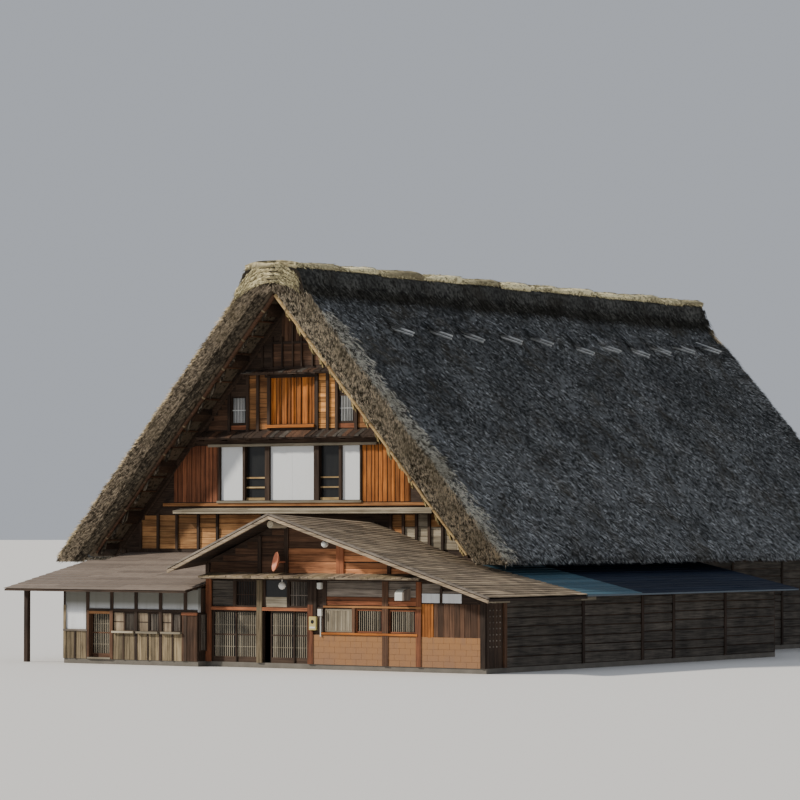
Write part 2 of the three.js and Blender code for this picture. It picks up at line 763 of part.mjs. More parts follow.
function makeFittings() {
  const bowl = [
    [0, 0],
    [160, 28],
    [DISH_RADIUS - 8, 100],
    [DISH_RADIUS, 90],
    [170, 8],
    [0, -25],
  ].map(([r, h]) => new THREE.Vector2(r, h));
  const dish = new THREE.LatheGeometry(bowl.reverse(), 24);
  const facing = new THREE.Vector3(-0.61, -0.77, 0.2).normalize();
  dish.applyQuaternion(new THREE.Quaternion().setFromUnitVectors(new THREE.Vector3(0, 1, 0), facing));
  dish.translate(DISH_PLACE.x, DISH_PLACE.y, DISH_PLACE.z);
  const { x, y, z } = DISH_PLACE;
  const arm = block(x - 20, x + 20, y + 15, ENTRANCE_FRONT - 20, z - 20, z + 20);
  const bracket = block(x - 45, x + 45, ENTRANCE_FRONT - 30, ENTRANCE_FRONT, z - 190, z + 160);
  piece("satellite_dish", join([solidOf(dish), arm, bracket]), "dish");

  const globe = new THREE.SphereGeometry(110, 16, 12);
  globe.rotateX(Math.PI / 2);
  globe.translate(3020, -4520, 2400);
  const stem = tube(15, 230);
  stem.translate(3020, -4520, 2480);
  const lamp = join([solidOf(globe), solidOf(stem)]);
  const { deep, fall, thick, top } = ENTRANCE_PENT;
  const under = prismX(
    [
      [ENTRANCE_FRONT - deep, top - fall - thick - SEAT_GAP],
      [ENTRANCE_FRONT, top - thick - SEAT_GAP],
      [ENTRANCE_FRONT, 3000],
      [ENTRANCE_FRONT - deep, 3000],
    ],
    2800,
    3200,
  );
  piece("globe_lamp", cut(lamp, [under]), "white");
  piece("vent_hood", block(7030, 7340, -4560, -4200, 2010, 2370), "white");
  piece("meter_box", block(3830, 4080, -4320, -4200, 1130, 1520), "white");
}

makeBase();
makeMainWalls();
makeGable("front", 0, WALL, -1);
makeGable("back", LENGTH - WALL, LENGTH, 1);
makeFloors();
makeRoofTimbers();
makeRoof();
makeEntrance();
makeDoors();
makeWing();
makeFittings();

export default house;
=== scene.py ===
"""Looks of a thatched farmhouse: reed roof, board gables, plastered wing and lattice doors.

Metres, +Z up. X runs right along the front gable and Y runs back along the ridge.
"""

import math
import random

import bmesh
import bpy
import numpy as np
from bpy.props import FloatProperty, FloatVectorProperty, IntProperty, PointerProperty
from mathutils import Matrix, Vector


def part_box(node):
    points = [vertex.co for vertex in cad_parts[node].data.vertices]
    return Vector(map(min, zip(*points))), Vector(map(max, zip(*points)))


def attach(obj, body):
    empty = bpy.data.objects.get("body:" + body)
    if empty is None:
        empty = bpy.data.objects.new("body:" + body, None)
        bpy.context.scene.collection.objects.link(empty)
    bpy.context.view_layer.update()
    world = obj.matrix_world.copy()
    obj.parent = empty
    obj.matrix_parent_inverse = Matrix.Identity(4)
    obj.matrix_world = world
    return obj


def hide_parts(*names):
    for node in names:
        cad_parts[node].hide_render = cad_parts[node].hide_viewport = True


bl_info = {
    "name": "Thatched farmhouse",
    "version": (1, 0, 0),
    "blender": (4, 5, 0),
    "location": "View3D > Sidebar > Farmhouse",
    "description": "Dresses the farmhouse's solids in thatch, boards, plaster and sheet roofing",
    "category": "Object",
}

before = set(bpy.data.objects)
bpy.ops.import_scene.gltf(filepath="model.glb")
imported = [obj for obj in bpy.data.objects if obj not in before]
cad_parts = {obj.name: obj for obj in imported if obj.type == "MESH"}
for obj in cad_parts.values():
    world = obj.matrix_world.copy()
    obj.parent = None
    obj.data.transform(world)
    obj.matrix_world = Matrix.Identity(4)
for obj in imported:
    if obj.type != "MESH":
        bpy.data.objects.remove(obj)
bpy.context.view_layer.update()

# Sizes that the solids already have.
LENGTH = 21.85
HALF_SPAN = 6.65
ROOF_TAN = 1.121
INNER_APEX = 11.23
THATCH_LEVEL = 1.22
THATCH_TOP = 11.48
ROOF_ANGLE = math.atan(ROOF_TAN)
DOWN_SLOPE = np.array([math.cos(ROOF_ANGLE), 0.0, -math.sin(ROOF_ANGLE)])
SLOPE_NORMAL = np.array([math.sin(ROOF_ANGLE), 0.0, math.cos(ROOF_ANGLE)])
REACH_X = 8.46
REACH_FRONT = -1.14
REACH_BACK = LENGTH + 1.14
ENTRANCE_FACE = -4.2
WING_FACE = -4.6
WING_LEFT = -5.15
AISLE_FACE = 9.9
FLOOR_TOP = 0.15


def inner_roof(x):
    """Height of the thatch's underside at distance x from the ridge line."""
    return INNER_APEX - ROOF_TAN * abs(x)


def outer_roof(x):
    """Height of the thatch's outer face at distance x from the ridge line."""
    return inner_roof(x) + THATCH_LEVEL * ROOF_TAN


def under_rafters(z):
    """Half the width of the gable wall at height z."""
    return (INNER_APEX - 0.3 - z) / ROOF_TAN - 0.02


def colour_prop(name, description, rgb):
    """A colour that a user can change."""
    return FloatVectorProperty(
        name=name, description=description, subtype="COLOR", size=3, min=0, max=1, default=rgb
    )


def length_prop(name, description, metres):
    """A length that a user can change."""
    return FloatProperty(
        name=name, description=description, unit="LENGTH", default=metres, min=0.001, max=5
    )


class ThatchLook(bpy.types.PropertyGroup):
    """Sizes and colours of the reed roof."""

    reeds: IntProperty(
        name="Reeds a slope",
        description="Reed ends shown on each slope",
        default=65000,
        min=1000,
        max=66000,
    )
    reed_length: length_prop("Reed length", "Length of reed that shows", 0.2)
    reed_width: length_prop("Reed width", "Width of one reed bundle", 0.018)
    verge_reeds: IntProperty(
        name="Reeds a verge",
        description="Reed ends shown on each end face of the roof",
        default=14000,
        min=1000,
        max=30000,
    )
    # The slope colours are blue-grey with painted skylight shade, for the right slope; the sunny colours are
    # the sunlit copy for the left slope.
    slope_shade_dark: colour_prop("Slope, dark", "Wet and mossy reed", (0.034, 0.037, 0.039))
    slope_shade_light: colour_prop("Slope, light", "Weathered reed", (0.52, 0.55, 0.58))
    verge_dark: colour_prop("Verge, dark", "Reed ends in the shade", (0.032, 0.026, 0.019))
    verge_light: colour_prop("Verge, light", "Dry reed ends", (0.98, 0.84, 0.62))
    old_light: colour_prop("Old verge, light", "Mossy reed ends of the left verge", (0.46, 0.38, 0.28))
    sunny_light: colour_prop("Sunny slope, light", "Dry reed of the left slope", (0.42, 0.37, 0.29))
    sunny_dark: colour_prop("Sunny slope, dark", "Mossy reed of the left slope", (0.04, 0.035, 0.027))
    # The rim colour is painted sunlight on the reed tips along the verge's top edge.
    rim_sunlight: colour_prop("Rim, light", "Bleached reeds along the verge's top edge", (0.9, 0.88, 0.78))
    # The cap colours are darkened with painted shade; the sunny cap reeds are the sunlit copy for the cap's
    # left side.
    cap_shade_dark: colour_prop("Cap, dark", "Packed reed under the ridge mats", (0.018, 0.018, 0.017))
    cap_shade_light: colour_prop("Cap, light", "Lighter reed of the cap", (0.17, 0.17, 0.155))
    mat_dark: colour_prop("Ridge mats, dark", "Shaded straw on the ridge", (0.17, 0.14, 0.08))
    mat_light: colour_prop("Ridge mats, light", "Dry straw on the ridge", (0.96, 0.86, 0.53))


# Each timber's label, description, light colour and the dark colour of its grain.
TIMBERS = {
    "amber": ("Amber boards", "Sunlit boards of the gable", (0.42, 0.2, 0.07), (0.13, 0.05, 0.018)),
    "honey": ("Honey boards", "Brightest boards of the gable", (0.62, 0.33, 0.13), (0.17, 0.07, 0.025)),
    "golden": ("Golden boards", "Sunlit boards beside the hatch", (0.98, 0.47, 0.14), (0.3, 0.12, 0.035)),
    # These red planks are brightened with painted sunlight.
    "sunlit_ruddy": ("Sunlit_ruddy boards", "Bright planks of the entrance gable", (0.9, 0.38, 0.16), (0.2, 0.075, 0.035)),
    "umber": ("Umber boards", "Darker boards of the gables", (0.15, 0.075, 0.04), (0.035, 0.018, 0.011)),
    "hatch": ("Hatch boards", "Planks of the gable hatch", (0.66, 0.23, 0.04), (0.17, 0.05, 0.01)),
    "red": ("Red boards", "Boards of the entrance wall", (0.42, 0.15, 0.065), (0.085, 0.03, 0.015)),
    "smoky": ("Smoky timber", "Posts and beams", (0.075, 0.045, 0.028), (0.018, 0.011, 0.008)),
    "grey": ("Grey boards", "Weathered boards", (0.3, 0.255, 0.21), (0.075, 0.06, 0.048)),
    "drab": ("Roof boards", "Boards of the entrance roof", (0.5, 0.39, 0.265), (0.07, 0.052, 0.037)),
    # These boards are dark partly from their own weathering and partly from painted shade under the eave.
    "shaded_sooty": ("Shaded_sooty boards", "Boards of the aisle", (0.125, 0.106, 0.085), (0.018, 0.016, 0.014)),
    "khaki": ("Khaki boards", "Lower boards of the wing", (0.4, 0.31, 0.185), (0.07, 0.052, 0.03)),
    "pale": ("Pale boards", "Bleached boards and rails", (0.52, 0.46, 0.35), (0.2, 0.165, 0.11)),
    "pole": ("Poles", "Bare roof poles", (0.66, 0.5, 0.25), (0.2, 0.11, 0.045)),
    "silver": ("Silvered poles", "Pole ends above the thatch", (0.72, 0.73, 0.72), (0.25, 0.26, 0.26)),
}


class TimberLook(bpy.types.PropertyGroup):
    """Width of lattice bars, and a light and a dark colour for each timber."""

    bar_width: length_prop("Bar width", "Width of an upright lattice bar", 0.016)


for key, (label, use, light, dark) in TIMBERS.items():
    TimberLook.__annotations__[key] = colour_prop(label, use, light)
    TimberLook.__annotations__[key + "_dark"] = colour_prop(label + ", dark", "Their grain", dark)


class WallLook(bpy.types.PropertyGroup):
    """Colours of plaster, paper, stone and fittings."""

    plaster: colour_prop("Plaster", "Lime plaster", (0.74, 0.76, 0.78))
    plaster_stain: colour_prop("Plaster stains", "Dust and rain marks", (0.36, 0.34, 0.3))
    paper: colour_prop("Paper", "Paper of the sliding screens", (0.74, 0.77, 0.79))
    # Paper behind the lattices: the screen paper darkened with painted shade.
    shaded_paper: colour_prop("Shaded paper", "Paper behind the lattices", (0.1, 0.11, 0.11))
    stone: colour_prop("Stone", "Foot of the walls", (0.2, 0.18, 0.155))
    render_coat: colour_prop("Rough coat", "Low wall of the entrance", (0.325, 0.168, 0.075))
    dish: colour_prop("Dish", "Faded paint of the dish", (0.62, 0.22, 0.12))
    casing: colour_prop("Casing", "Painted casings", (0.66, 0.67, 0.62))


class SheetLook(bpy.types.PropertyGroup):
    """Colours and lap of the sheet roofs."""

    lap: length_prop("Lap", "Width of one sheet course", 0.33)
    brown: colour_prop("Brown sheet", "Roof of the wing", (0.22, 0.178, 0.148))
    brown_dark: colour_prop("Brown sheet, worn", "Dust on the wing's roof", (0.15, 0.12, 0.102))
    blue: colour_prop("Blue sheet", "Roof of the side aisle", (0.008, 0.015, 0.033))
    teal: colour_prop("Teal sheet", "Newer sheets of the aisle roof", (0.055, 0.125, 0.17))


class StageLook(bpy.types.PropertyGroup):
    """Floor and light."""

    floor: colour_prop("Floor", "Pale floor", (0.78, 0.77, 0.75))
    sky: FloatProperty(name="Sky", description="Strength of the soft light", default=0.5, min=0, max=5)
    key: FloatProperty(name="Key", description="Strength of the main light", default=4.4, min=0, max=20)


def look(kind):
    """One of the property groups of the scene."""
    return getattr(bpy.context.scene, "farmhouse_" + kind)


def socket_kind(value):
    """Socket type that fits a default value."""
    if isinstance(value, (int, float)):
        return "NodeSocketFloat"
    return "NodeSocketColor" if len(value) == 4 else "NodeSocketVector"


def add_node(tree, kind, values=None, **settings):
    """A node with its settings; values fill its inputs, by name or number, or link them."""
    node = tree.nodes.new(kind)
    for key, value in settings.items():
        setattr(node, key, value)
    for key, value in (values or {}).items():
        if isinstance(value, bpy.types.NodeSocket):
            tree.links.new(value, node.inputs[key])
        else:
            node.inputs[key].default_value = value
    return node


def mix_colours(tree, factor, first, second):
    """Output of a colour mix."""
    return add_node(tree, "ShaderNodeMix", {0: factor, 6: first, 7: second}, data_type="RGBA").outputs[2]


def spread(tree, value, low, high, to_low=0.0, to_high=1.0):
    """Output of a clamped range map."""
    places = {"Value": value, "From Min": low, "From Max": high, "To Min": to_low, "To Max": to_high}
    return add_node(tree, "ShaderNodeMapRange", places).outputs["Result"]


def math_node(tree, operation, *values):
    """Output of a sum of two or three numbers."""
    return add_node(tree, "ShaderNodeMath", dict(enumerate(values)), operation=operation).outputs[0]


def vector_node(tree, operation, first, second):
    """Output of a sum of two vectors."""
    return add_node(tree, "ShaderNodeVectorMath", {0: first, 1: second}, operation=operation).outputs[0]


def scaled(tree, vector, factor):
    """Output of a vector or colour times a number."""
    values = {0: vector, "Scale": factor}
    return add_node(tree, "ShaderNodeVectorMath", values, operation="SCALE").outputs[0]


def noise(tree, place, scale, detail, **more):
    """Output of a noise texture."""
    values = {"Vector": place, "Scale": scale, "Detail": detail, **more}
    return add_node(tree, "ShaderNodeTexNoise", values).outputs["Fac"]


def object_place(tree):
    """Output with the place that is shaded, on its object."""
    return add_node(tree, "ShaderNodeTexCoord").outputs["Object"]


def height_of(tree, place):
    """Output with a place's height."""
    return add_node(tree, "ShaderNodeSeparateXYZ", {"Vector": place}).outputs["Z"]


def own_number(tree):
    """Output with a random number for each board or reed."""
    return add_node(tree, "ShaderNodeNewGeometry").outputs["Random Per Island"]


GREY = (0.5, 0.5, 0.5, 1)


def use_group(tree, name, inputs, fill, values):
    """Outputs of a group node with its values; fill makes the group's nodes the first time."""
    group = bpy.data.node_groups.get(name)
    if group is None:
        group = bpy.data.node_groups.new(name, "ShaderNodeTree")
        for label, value in inputs.items():
            socket = group.interface.new_socket(label, in_out="INPUT", socket_type=socket_kind(value))
            socket.default_value = value
        made = fill(group, add_node(group, "NodeGroupInput").outputs)
        for label in made:
            kind = "NodeSocketColor" if label == "Color" else "NodeSocketFloat"
            group.interface.new_socket(label, in_out="OUTPUT", socket_type=kind)
        add_node(group, "NodeGroupOutput", made)
    return add_node(tree, "ShaderNodeGroup", values, node_tree=group).outputs


WOOD_INPUTS = {"Light": GREY, "Dark": GREY, "Stretch": (1.0, 1.0, 1.0), "Shift": 0.0, "Board spread": 0.6}


def fill_wood(group, give):
    """Long grain with broad stains; each board shifts it by its own number."""
    place = object_place(group)
    moved = vector_node(group, "MULTIPLY", place, give["Stretch"])
    offset = math_node(group, "MULTIPLY", give["Shift"], 57.0)
    grain = noise(group, vector_node(group, "ADD", moved, offset), 1.0, 5.0, Roughness=0.62)
    fine = spread(group, grain, 0.34, 0.68)
    broad = spread(group, noise(group, place, 1.3, 3.0), 0.35, 0.7)
    mixed = math_node(group, "MULTIPLY_ADD", fine, 0.65, math_node(group, "MULTIPLY", broad, 0.35))
    base = mix_colours(group, mixed, give["Dark"], give["Light"])
    low = math_node(group, "SUBTRACT", 1.0, give["Board spread"])
    tone = spread(group, give["Shift"], 0.0, 1.0, low, 1.25)
    rough = spread(group, fine, 0.0, 1.0, 0.92, 0.72)
    return {"Color": scaled(group, base, tone), "Height": grain, "Roughness": rough}


REED_INPUTS = {
    "Light": GREY,
    "Dark": GREY,
    "Tint": GREY,
    "Shift": 0.0,
    "Foot": 0.62,
    "Head": 0.29,
    "Patch": 0.55,
    "Speck": 9.0,
    "Gap shade": 0.12,
    "Tuft light": 1.9,
    "Softness": 0.15,
}


def fill_reeds(group, give):
    """Every reed its own tone, over broad patches that change between eave and ridge, with painted shade in
    the gaps between tufts and painted light on the tufts.
    """
    place = object_place(group)
    patches = noise(group, place, give["Patch"], 4.0, Roughness=0.6)
    specks = noise(group, place, give["Speck"], 3.0)
    level = spread(group, height_of(group, place), 3.0, 8.0, give["Foot"], give["Head"])
    own = spread(group, math_node(group, "POWER", give["Shift"], 2.6), 0.0, 1.0, 0.1, 3.0)
    middle = 0.51
    darkest = math_node(group, "SUBTRACT", middle, give["Softness"])
    lightest = math_node(group, "ADD", middle, give["Softness"])
    # Specks vary the tufts' tone, and paint shade into the gaps between tufts and light onto the tufts.
    tuft_tone_and_shade = spread(group, specks, darkest, lightest, give["Gap shade"], give["Tuft light"])
    for factor in (spread(group, patches, 0.38, 0.66, 0.5, 1.25), own, tuft_tone_and_shade):
        level = math_node(group, "MULTIPLY", level, factor)
    base = mix_colours(group, level, give["Dark"], give["Light"])
    tint = spread(group, noise(group, place, 0.9, 2.0), 0.5, 0.72, 0.0, 0.55)
    return {"Color": mix_colours(group, tint, base, give["Tint"]), "Height": specks}


WEATHER_INPUTS = {"Color": GREY, "Stain": GREY, "Amount": 0.5, "Ground": 0.9, "Scale": 1.4}


def fill_weather(group, give):
    """Rain streaks and dust low down, over any colour."""
    place = object_place(group)
    streaky = vector_node(group, "MULTIPLY", place, (6.0, 6.0, 0.7))
    streaks = noise(group, streaky, give["Scale"], 4.0)
    clouds = noise(group, place, 2.2, 4.0)
    cloudy = spread(group, clouds, 0.35, 0.7, 0.2, 1.0)
    both = math_node(group, "MULTIPLY", spread(group, streaks, 0.42, 0.72), cloudy)
    low = spread(group, height_of(group, place), 0.0, give["Ground"], 1.0, 0.0)
    splashed = math_node(group, "MULTIPLY", low, spread(group, clouds, 0.3, 0.6, 0.3, 0.9))
    mask = math_node(group, "MULTIPLY", math_node(group, "MAXIMUM", both, splashed), give["Amount"])
    return {"Color": mix_colours(group, mask, give["Color"], give["Stain"]), "Mask": mask}


def weathered(tree, values):
    """Colour with rain streaks and dust."""
    return use_group(tree, "Rain and dust", WEATHER_INPUTS, fill_weather, values)["Color"]


def rgba(colour):
    """A colour with full alpha."""
    return (*colour[:3], 1.0)


FINISHES = {}


def start_material(name, roughness=0.85, specular=0.3):
    """A new finish: its node tree and its surface shader."""
    material = bpy.data.materials.new(name.capitalize())
    material.use_nodes = True
    shader = material.node_tree.nodes["Principled BSDF"]
    shader.inputs["Roughness"].default_value = roughness
    shader.inputs["Specular IOR Level"].default_value = specular
    FINISHES[name] = material
    return material.node_tree, shader


def dress_shader(tree, shader, colour, height, strength, distance=0.01):
    """Feeds the shader a colour, and a bump from a height."""
    tree.links.new(colour, shader.inputs["Base Color"])
    values = {"Height": height, "Strength": strength, "Distance": distance}
    tree.links.new(add_node(tree, "ShaderNodeBump", values).outputs["Normal"], shader.inputs["Normal"])


ALONG = {"x": (1.2, 26.0, 26.0), "y": (26.0, 1.2, 26.0), "z": (26.0, 26.0, 1.2)}


def wood_material(name, light, dark, along, board_spread):
    """Boards with their grain along one axis."""
    tree, shader = start_material(name)
    values = {"Light": rgba(light), "Dark": rgba(dark), "Stretch": ALONG[along]}
    values.update({"Shift": own_number(tree), "Board spread": board_spread})
    grain = use_group(tree, "Board grain", WOOD_INPUTS, fill_wood, values)
    dress_shader(tree, shader, grain["Color"], grain["Height"], 0.35)
    tree.links.new(grain["Roughness"], shader.inputs["Roughness"])


# How dark the painted shade in the gaps between tufts is, how light the painted light on the tufts, and how
# soft the step between them.
SOFT_TUFTS = (0.12, 1.9, 0.15)
SHARP_TUFTS = (0.06, 3.4, 0.11)
FINE_TUFTS = (0.25, 2.3, 0.14)
CRISP_TUFTS = (0.14, 2.9, 0.12)


def reed_material(name, light, dark, tint, foot=0.62, head=0.29, patch=0.55, speck=9.0, tufts=SOFT_TUFTS):
    """Reeds or straw, with its brightness at the eave and at the ridge and two noise scales."""
    tree, shader = start_material(name, 0.95, 0.12)
    values = {"Light": rgba(light), "Dark": rgba(dark), "Tint": rgba(tint), "Shift": own_number(tree)}
    values.update({"Foot": foot, "Head": head, "Patch": patch, "Speck": speck})
    values.update(zip(("Gap shade", "Tuft light", "Softness"), tufts))
    reeds = use_group(tree, "Reed tones", REED_INPUTS, fill_reeds, values)
    dress_shader(tree, shader, reeds["Color"], reeds["Height"], 0.6, 0.03)


def coat_material(name, colour, stain, roughness=0.9, amount=0.5, grit=40.0, bump=0.15, smoked=None):
    """Plaster, paint or stone with stains and a fine grit, and darkened between two heights by soot and
    painted eave shade.
    """
    tree, shader = start_material(name, roughness)
    shade = weathered(tree, {"Color": rgba(colour), "Stain": rgba(stain), "Amount": amount})
    place = object_place(tree)
    if smoked:
        # Darker toward the top of the band: partly soot, partly painted shade under the eave.
        soot_and_shade = spread(tree, height_of(tree, place), *smoked, 0.0, 0.9)
        shade = mix_colours(tree, soot_and_shade, shade, (0.13, 0.125, 0.095, 1))
    dress_shader(tree, shader, shade, noise(tree, place, grit, 4.0), bump)


def sheet_material(name, colour, worn_colour, roughness, along):
    """Painted sheet with dust, and faint ripples across each course."""
    tree, shader = start_material(name, roughness, 0.12)
    worn = {"Color": rgba(colour), "Stain": rgba(worn_colour), "Amount": 0.8, "Ground": 0.1, "Scale": 0.7}
    tone = spread(tree, own_number(tree), 0.0, 1.0, 0.82, 1.18)
    stretched = vector_node(tree, "MULTIPLY", object_place(tree), ALONG[along])
    ripple = noise(tree, stretched, 0.5, 2.0)
    dress_shader(tree, shader, scaled(tree, weathered(tree, worn), tone), ripple, 0.2)
    rough = spread(tree, ripple, 0.3, 0.7, roughness - 0.08, roughness + 0.15)
    tree.links.new(rough, shader.inputs["Roughness"])


# How much the boards of one kind differ from each other, where it isn't the usual half.
BOARD_SPREAD = {"silver": 0.1, "drab": 0.35, "shaded_sooty": 0.3}


def reed_finishes():
    """Finishes of the thatch and of the straw on its ridge."""
    look_of = look("thatch")
    verge_dark = look_of.verge_dark
    make = reed_material
    # Right slope reeds carry painted blue-grey shade; the sunny reeds are their sunlit copy.
    make("shaded slope reeds", look_of.slope_shade_light, look_of.slope_shade_dark, (0.1, 0.09, 0.07))
    make("slope bed", (0.13, 0.137, 0.142), (0.014, 0.015, 0.016), (0.03, 0.03, 0.028))
    make("sunny reeds", look_of.sunny_light, look_of.sunny_dark, (0.12, 0.1, 0.07))
    edge = (1.2, 10.0, CRISP_TUFTS)
    make("verge reeds", look_of.verge_light, (0.05, 0.04, 0.028), (0.36, 0.3, 0.2), 0.95, 0.65, *edge)
    edge = (0.9, 10.0, FINE_TUFTS)
    make("old verge reeds", look_of.old_light, verge_dark, (0.16, 0.13, 0.075), 1.1, 0.95, *edge)
    make("shaded reeds", (0.2, 0.165, 0.12), (0.02, 0.016, 0.012), (0.06, 0.05, 0.034), 0.5, 0.45, *edge)
    edge = (0.9, 7.0, FINE_TUFTS)
    make("old rim reeds", (0.74, 0.6, 0.38), verge_dark, (0.3, 0.25, 0.13), 0.9, 0.8, *edge)
    edge = (1.6, 7.0, SHARP_TUFTS)
    # Rim reeds: a bright colour and raised levels as painted sunlight on tips that lie in shade.
    make("rim reeds", look_of.rim_sunlight, verge_dark, (0.4, 0.37, 0.28), 1.6, 1.2, *edge)
    edge = (1.2, 7.0, FINE_TUFTS)
    make("hanging reeds", (0.36, 0.28, 0.13), (0.06, 0.045, 0.022), (0.2, 0.15, 0.07), 0.9, 0.9, *edge)
    make("dry bed", (0.14, 0.115, 0.08), (0.03, 0.024, 0.017), (0.08, 0.065, 0.045), 0.6, 0.5, 1.6)
    make("verge bed", (0.14, 0.112, 0.08), (0.02, 0.016, 0.012), (0.07, 0.055, 0.04), 0.6, 0.5, 1.6)
    # Cap reeds are darkened with painted shade; the sunny cap reeds below are their sunlit copy.
    make("cap reeds", look_of.cap_shade_light, look_of.cap_shade_dark, (0.03, 0.026, 0.02), 0.34, 0.34, 1.2)
    make("sunny cap reeds", (0.5, 0.45, 0.32), (0.08, 0.065, 0.04), (0.3, 0.26, 0.16), 0.8, 0.8, 1.2)
    edge = (1.8, 8.0, FINE_TUFTS)
    make("mat straw", look_of.mat_light, look_of.mat_dark, (0.6, 0.53, 0.33), 0.85, 0.85, *edge)


def coat_finishes():
    """Finishes of plaster, paper, stone, paint and sheet."""
    wall, sheet = look("wall"), look("sheet")
    make = coat_material
    make("lime plaster", wall.plaster, wall.plaster_stain, 0.9, 0.45)
    # The wing's upper plaster darkens toward the eave, partly soot and partly painted shade.
    make("eave plaster", wall.plaster, wall.plaster_stain, 0.9, 0.45, smoked=(1.55, 1.87))
    make("screen paper", wall.paper, (0.6, 0.6, 0.56), 0.8, 0.2, 90.0, 0.05)
    # Paper behind lattices, darkened with painted shade.
    make("shaded paper", wall.shaded_paper, (0.1, 0.1, 0.09), 0.5, 0.5, 30.0, 0.05)
    # Near-black dark glass, also used as painted shade behind lattices, in openings and under the hood.
    make("dark glass and shade", (0.012, 0.013, 0.014), (0.03, 0.03, 0.028), 0.25, 0.4, 20.0, 0.02)
    make("foot stone", wall.stone, (0.1, 0.095, 0.08), 0.95, 0.7, 12.0, 0.5)
    make("rough coat", wall.render_coat, (0.2, 0.13, 0.1), 0.95, 0.7, 30.0, 0.4)
    make("dish paint", wall.dish, (0.4, 0.17, 0.1), 0.5, 0.6, 60.0, 0.05)
    make("casing paint", wall.casing, (0.4, 0.39, 0.33), 0.45, 0.4, 60.0, 0.05)
    make("box paint", (0.5, 0.42, 0.16), (0.3, 0.24, 0.1), 0.5, 0.5, 60.0, 0.05)
    make("globe", (0.75, 0.74, 0.7), (0.5, 0.48, 0.42), 0.35, 0.3, 60.0, 0.02)
    sheet_material("brown sheet", sheet.brown, sheet.brown_dark, 0.6, "x")
    sheet_material("blue sheet", sheet.blue, (0.013, 0.019, 0.03), 0.7, "y")
    sheet_material("teal sheet", sheet.teal, (0.09, 0.14, 0.16), 0.42, "y")
    # A lighter sheet colour for the aisle's eave edge: a painted highlight.
    sheet_material("sheet edge highlight", (0.12, 0.15, 0.18), (0.09, 0.1, 0.12), 0.5, "y")


def make_finishes():
    """All finishes of the house, by name."""
    reed_finishes()
    coat_finishes()
    wood = look("timber")
    for name in TIMBERS:
        light, dark = getattr(wood, name), getattr(wood, name + "_dark")
        for along in "xyz":
            wood_material(f"{name} {along}", light, dark, along, BOARD_SPREAD.get(name, 0.5))


def side_name(side):
    """Name of a side of the roof."""
    return "right" if side > 0 else "left"


def end_name(back):
    """Name of an end of the house."""
    return "back" if back else "front"


def four(x0, x1, y0, y1):
    """Corners of a rectangle, in turn."""
    return [(x0, y0), (x1, y0), (x1, y1), (x0, y1)]


def tube_faces(rings, count):
    """Faces between rings of count corners each."""
    faces = []
    for low in range(0, (rings - 1) * count, count):
        for i in range(count):
            j = (i + 1) % count
            faces.append((low + i, low + j, low + count + j, low + count + i))
    return faces


def end_faces(rings, count):
    """Faces that close a tube at its first and its last ring."""
    total = rings * count
    return [tuple(range(count)), tuple(range(total - 1, total - 1 - count, -1))]


class Shape:
    """Corners and faces of one piece, with a finish for each face."""

    def __init__(self):
        self.corners = []
        self.faces = []
        self.numbers = []
        self.finishes = []

    def add(self, corners, faces, finish, start=None):
        """Adds corners and faces; the faces count from corner start, or from the first new one."""
        start = len(self.corners) if start is None else start
        if finish not in self.finishes:
            self.finishes.append(finish)
        self.corners += [tuple(c) for c in corners]
        self.faces += [tuple(start + i for i in face) for face in faces]
        self.numbers += [self.finishes.index(finish)] * len(faces)

    def hexa(self, lower, upper, finish):
        """A six-sided block between two rings of four corners."""
        sides = [(i, (i + 1) % 4, (i + 1) % 4 + 4, i + 4) for i in range(4)]
        self.add([*lower, *upper], [(3, 2, 1, 0), (4, 5, 6, 7), *sides], finish)

    def slab(self, low, thick, finish):
        """A block of even thickness over a ring of four corners."""
        self.hexa(low, [(x, y, z + thick) for x, y, z in low], finish)

    def block(self, low, high, finish):
        """A straight block between two corners."""
        (x0, y0, z0), (x1, y1, z1) = low, high
        ring = four(x0, x1, y0, y1)
        self.hexa([(x, y, z0) for x, y in ring], [(x, y, z1) for x, y in ring], finish)

    def rod(self, start, end, radius, finish, sides=8, end_radius=None, rings=1, wander=0.0, seed=0):
        """A round pole, straight or a little crooked."""
        start, end = Vector(start), Vector(end)
        axis = (end - start).normalized()
        helper = Vector((0, 0, 1)) if abs(axis.z) < 0.9 else Vector((1, 0, 0))
        side = axis.cross(helper).normalized()
        other = axis.cross(side)
        rng = random.Random(seed)
        end_radius = radius if end_radius is None else end_radius
        corners = []
        for ring in range(rings + 1):
            t = ring / rings
            centre = start.lerp(end, t)
            if 0 < ring < rings:
                centre += side * rng.uniform(-wander, wander) + other * rng.uniform(-wander, wander)
            r = radius + (end_radius - radius) * t
            for i in range(sides):
                a = 2 * math.pi * i / sides
                corners.append(centre + (side * math.cos(a) + other * math.sin(a)) * r)
        faces = [tuple(range(sides))[::-1], tuple(rings * sides + i for i in range(sides))]
        self.add(corners, faces + tube_faces(rings + 1, sides), finish)

    def make(self, name, replaces=(), **how):
        """Makes the mesh object."""
        if not self.corners:
            raise RuntimeError(f"{name} has no corners")
        mesh = bpy.data.meshes.new(name)
        mesh.from_pydata(self.corners, [], self.faces)
        mesh.polygons.foreach_set("material_index", self.numbers)
        for finish in self.finishes:
            mesh.materials.append(FINISHES[finish])
        work = bmesh.new()
        work.from_mesh(mesh)
        bmesh.ops.recalc_face_normals(work, faces=work.faces)
        work.to_mesh(mesh)
        work.free()
        finish_object(name, mesh, replaces, **how)


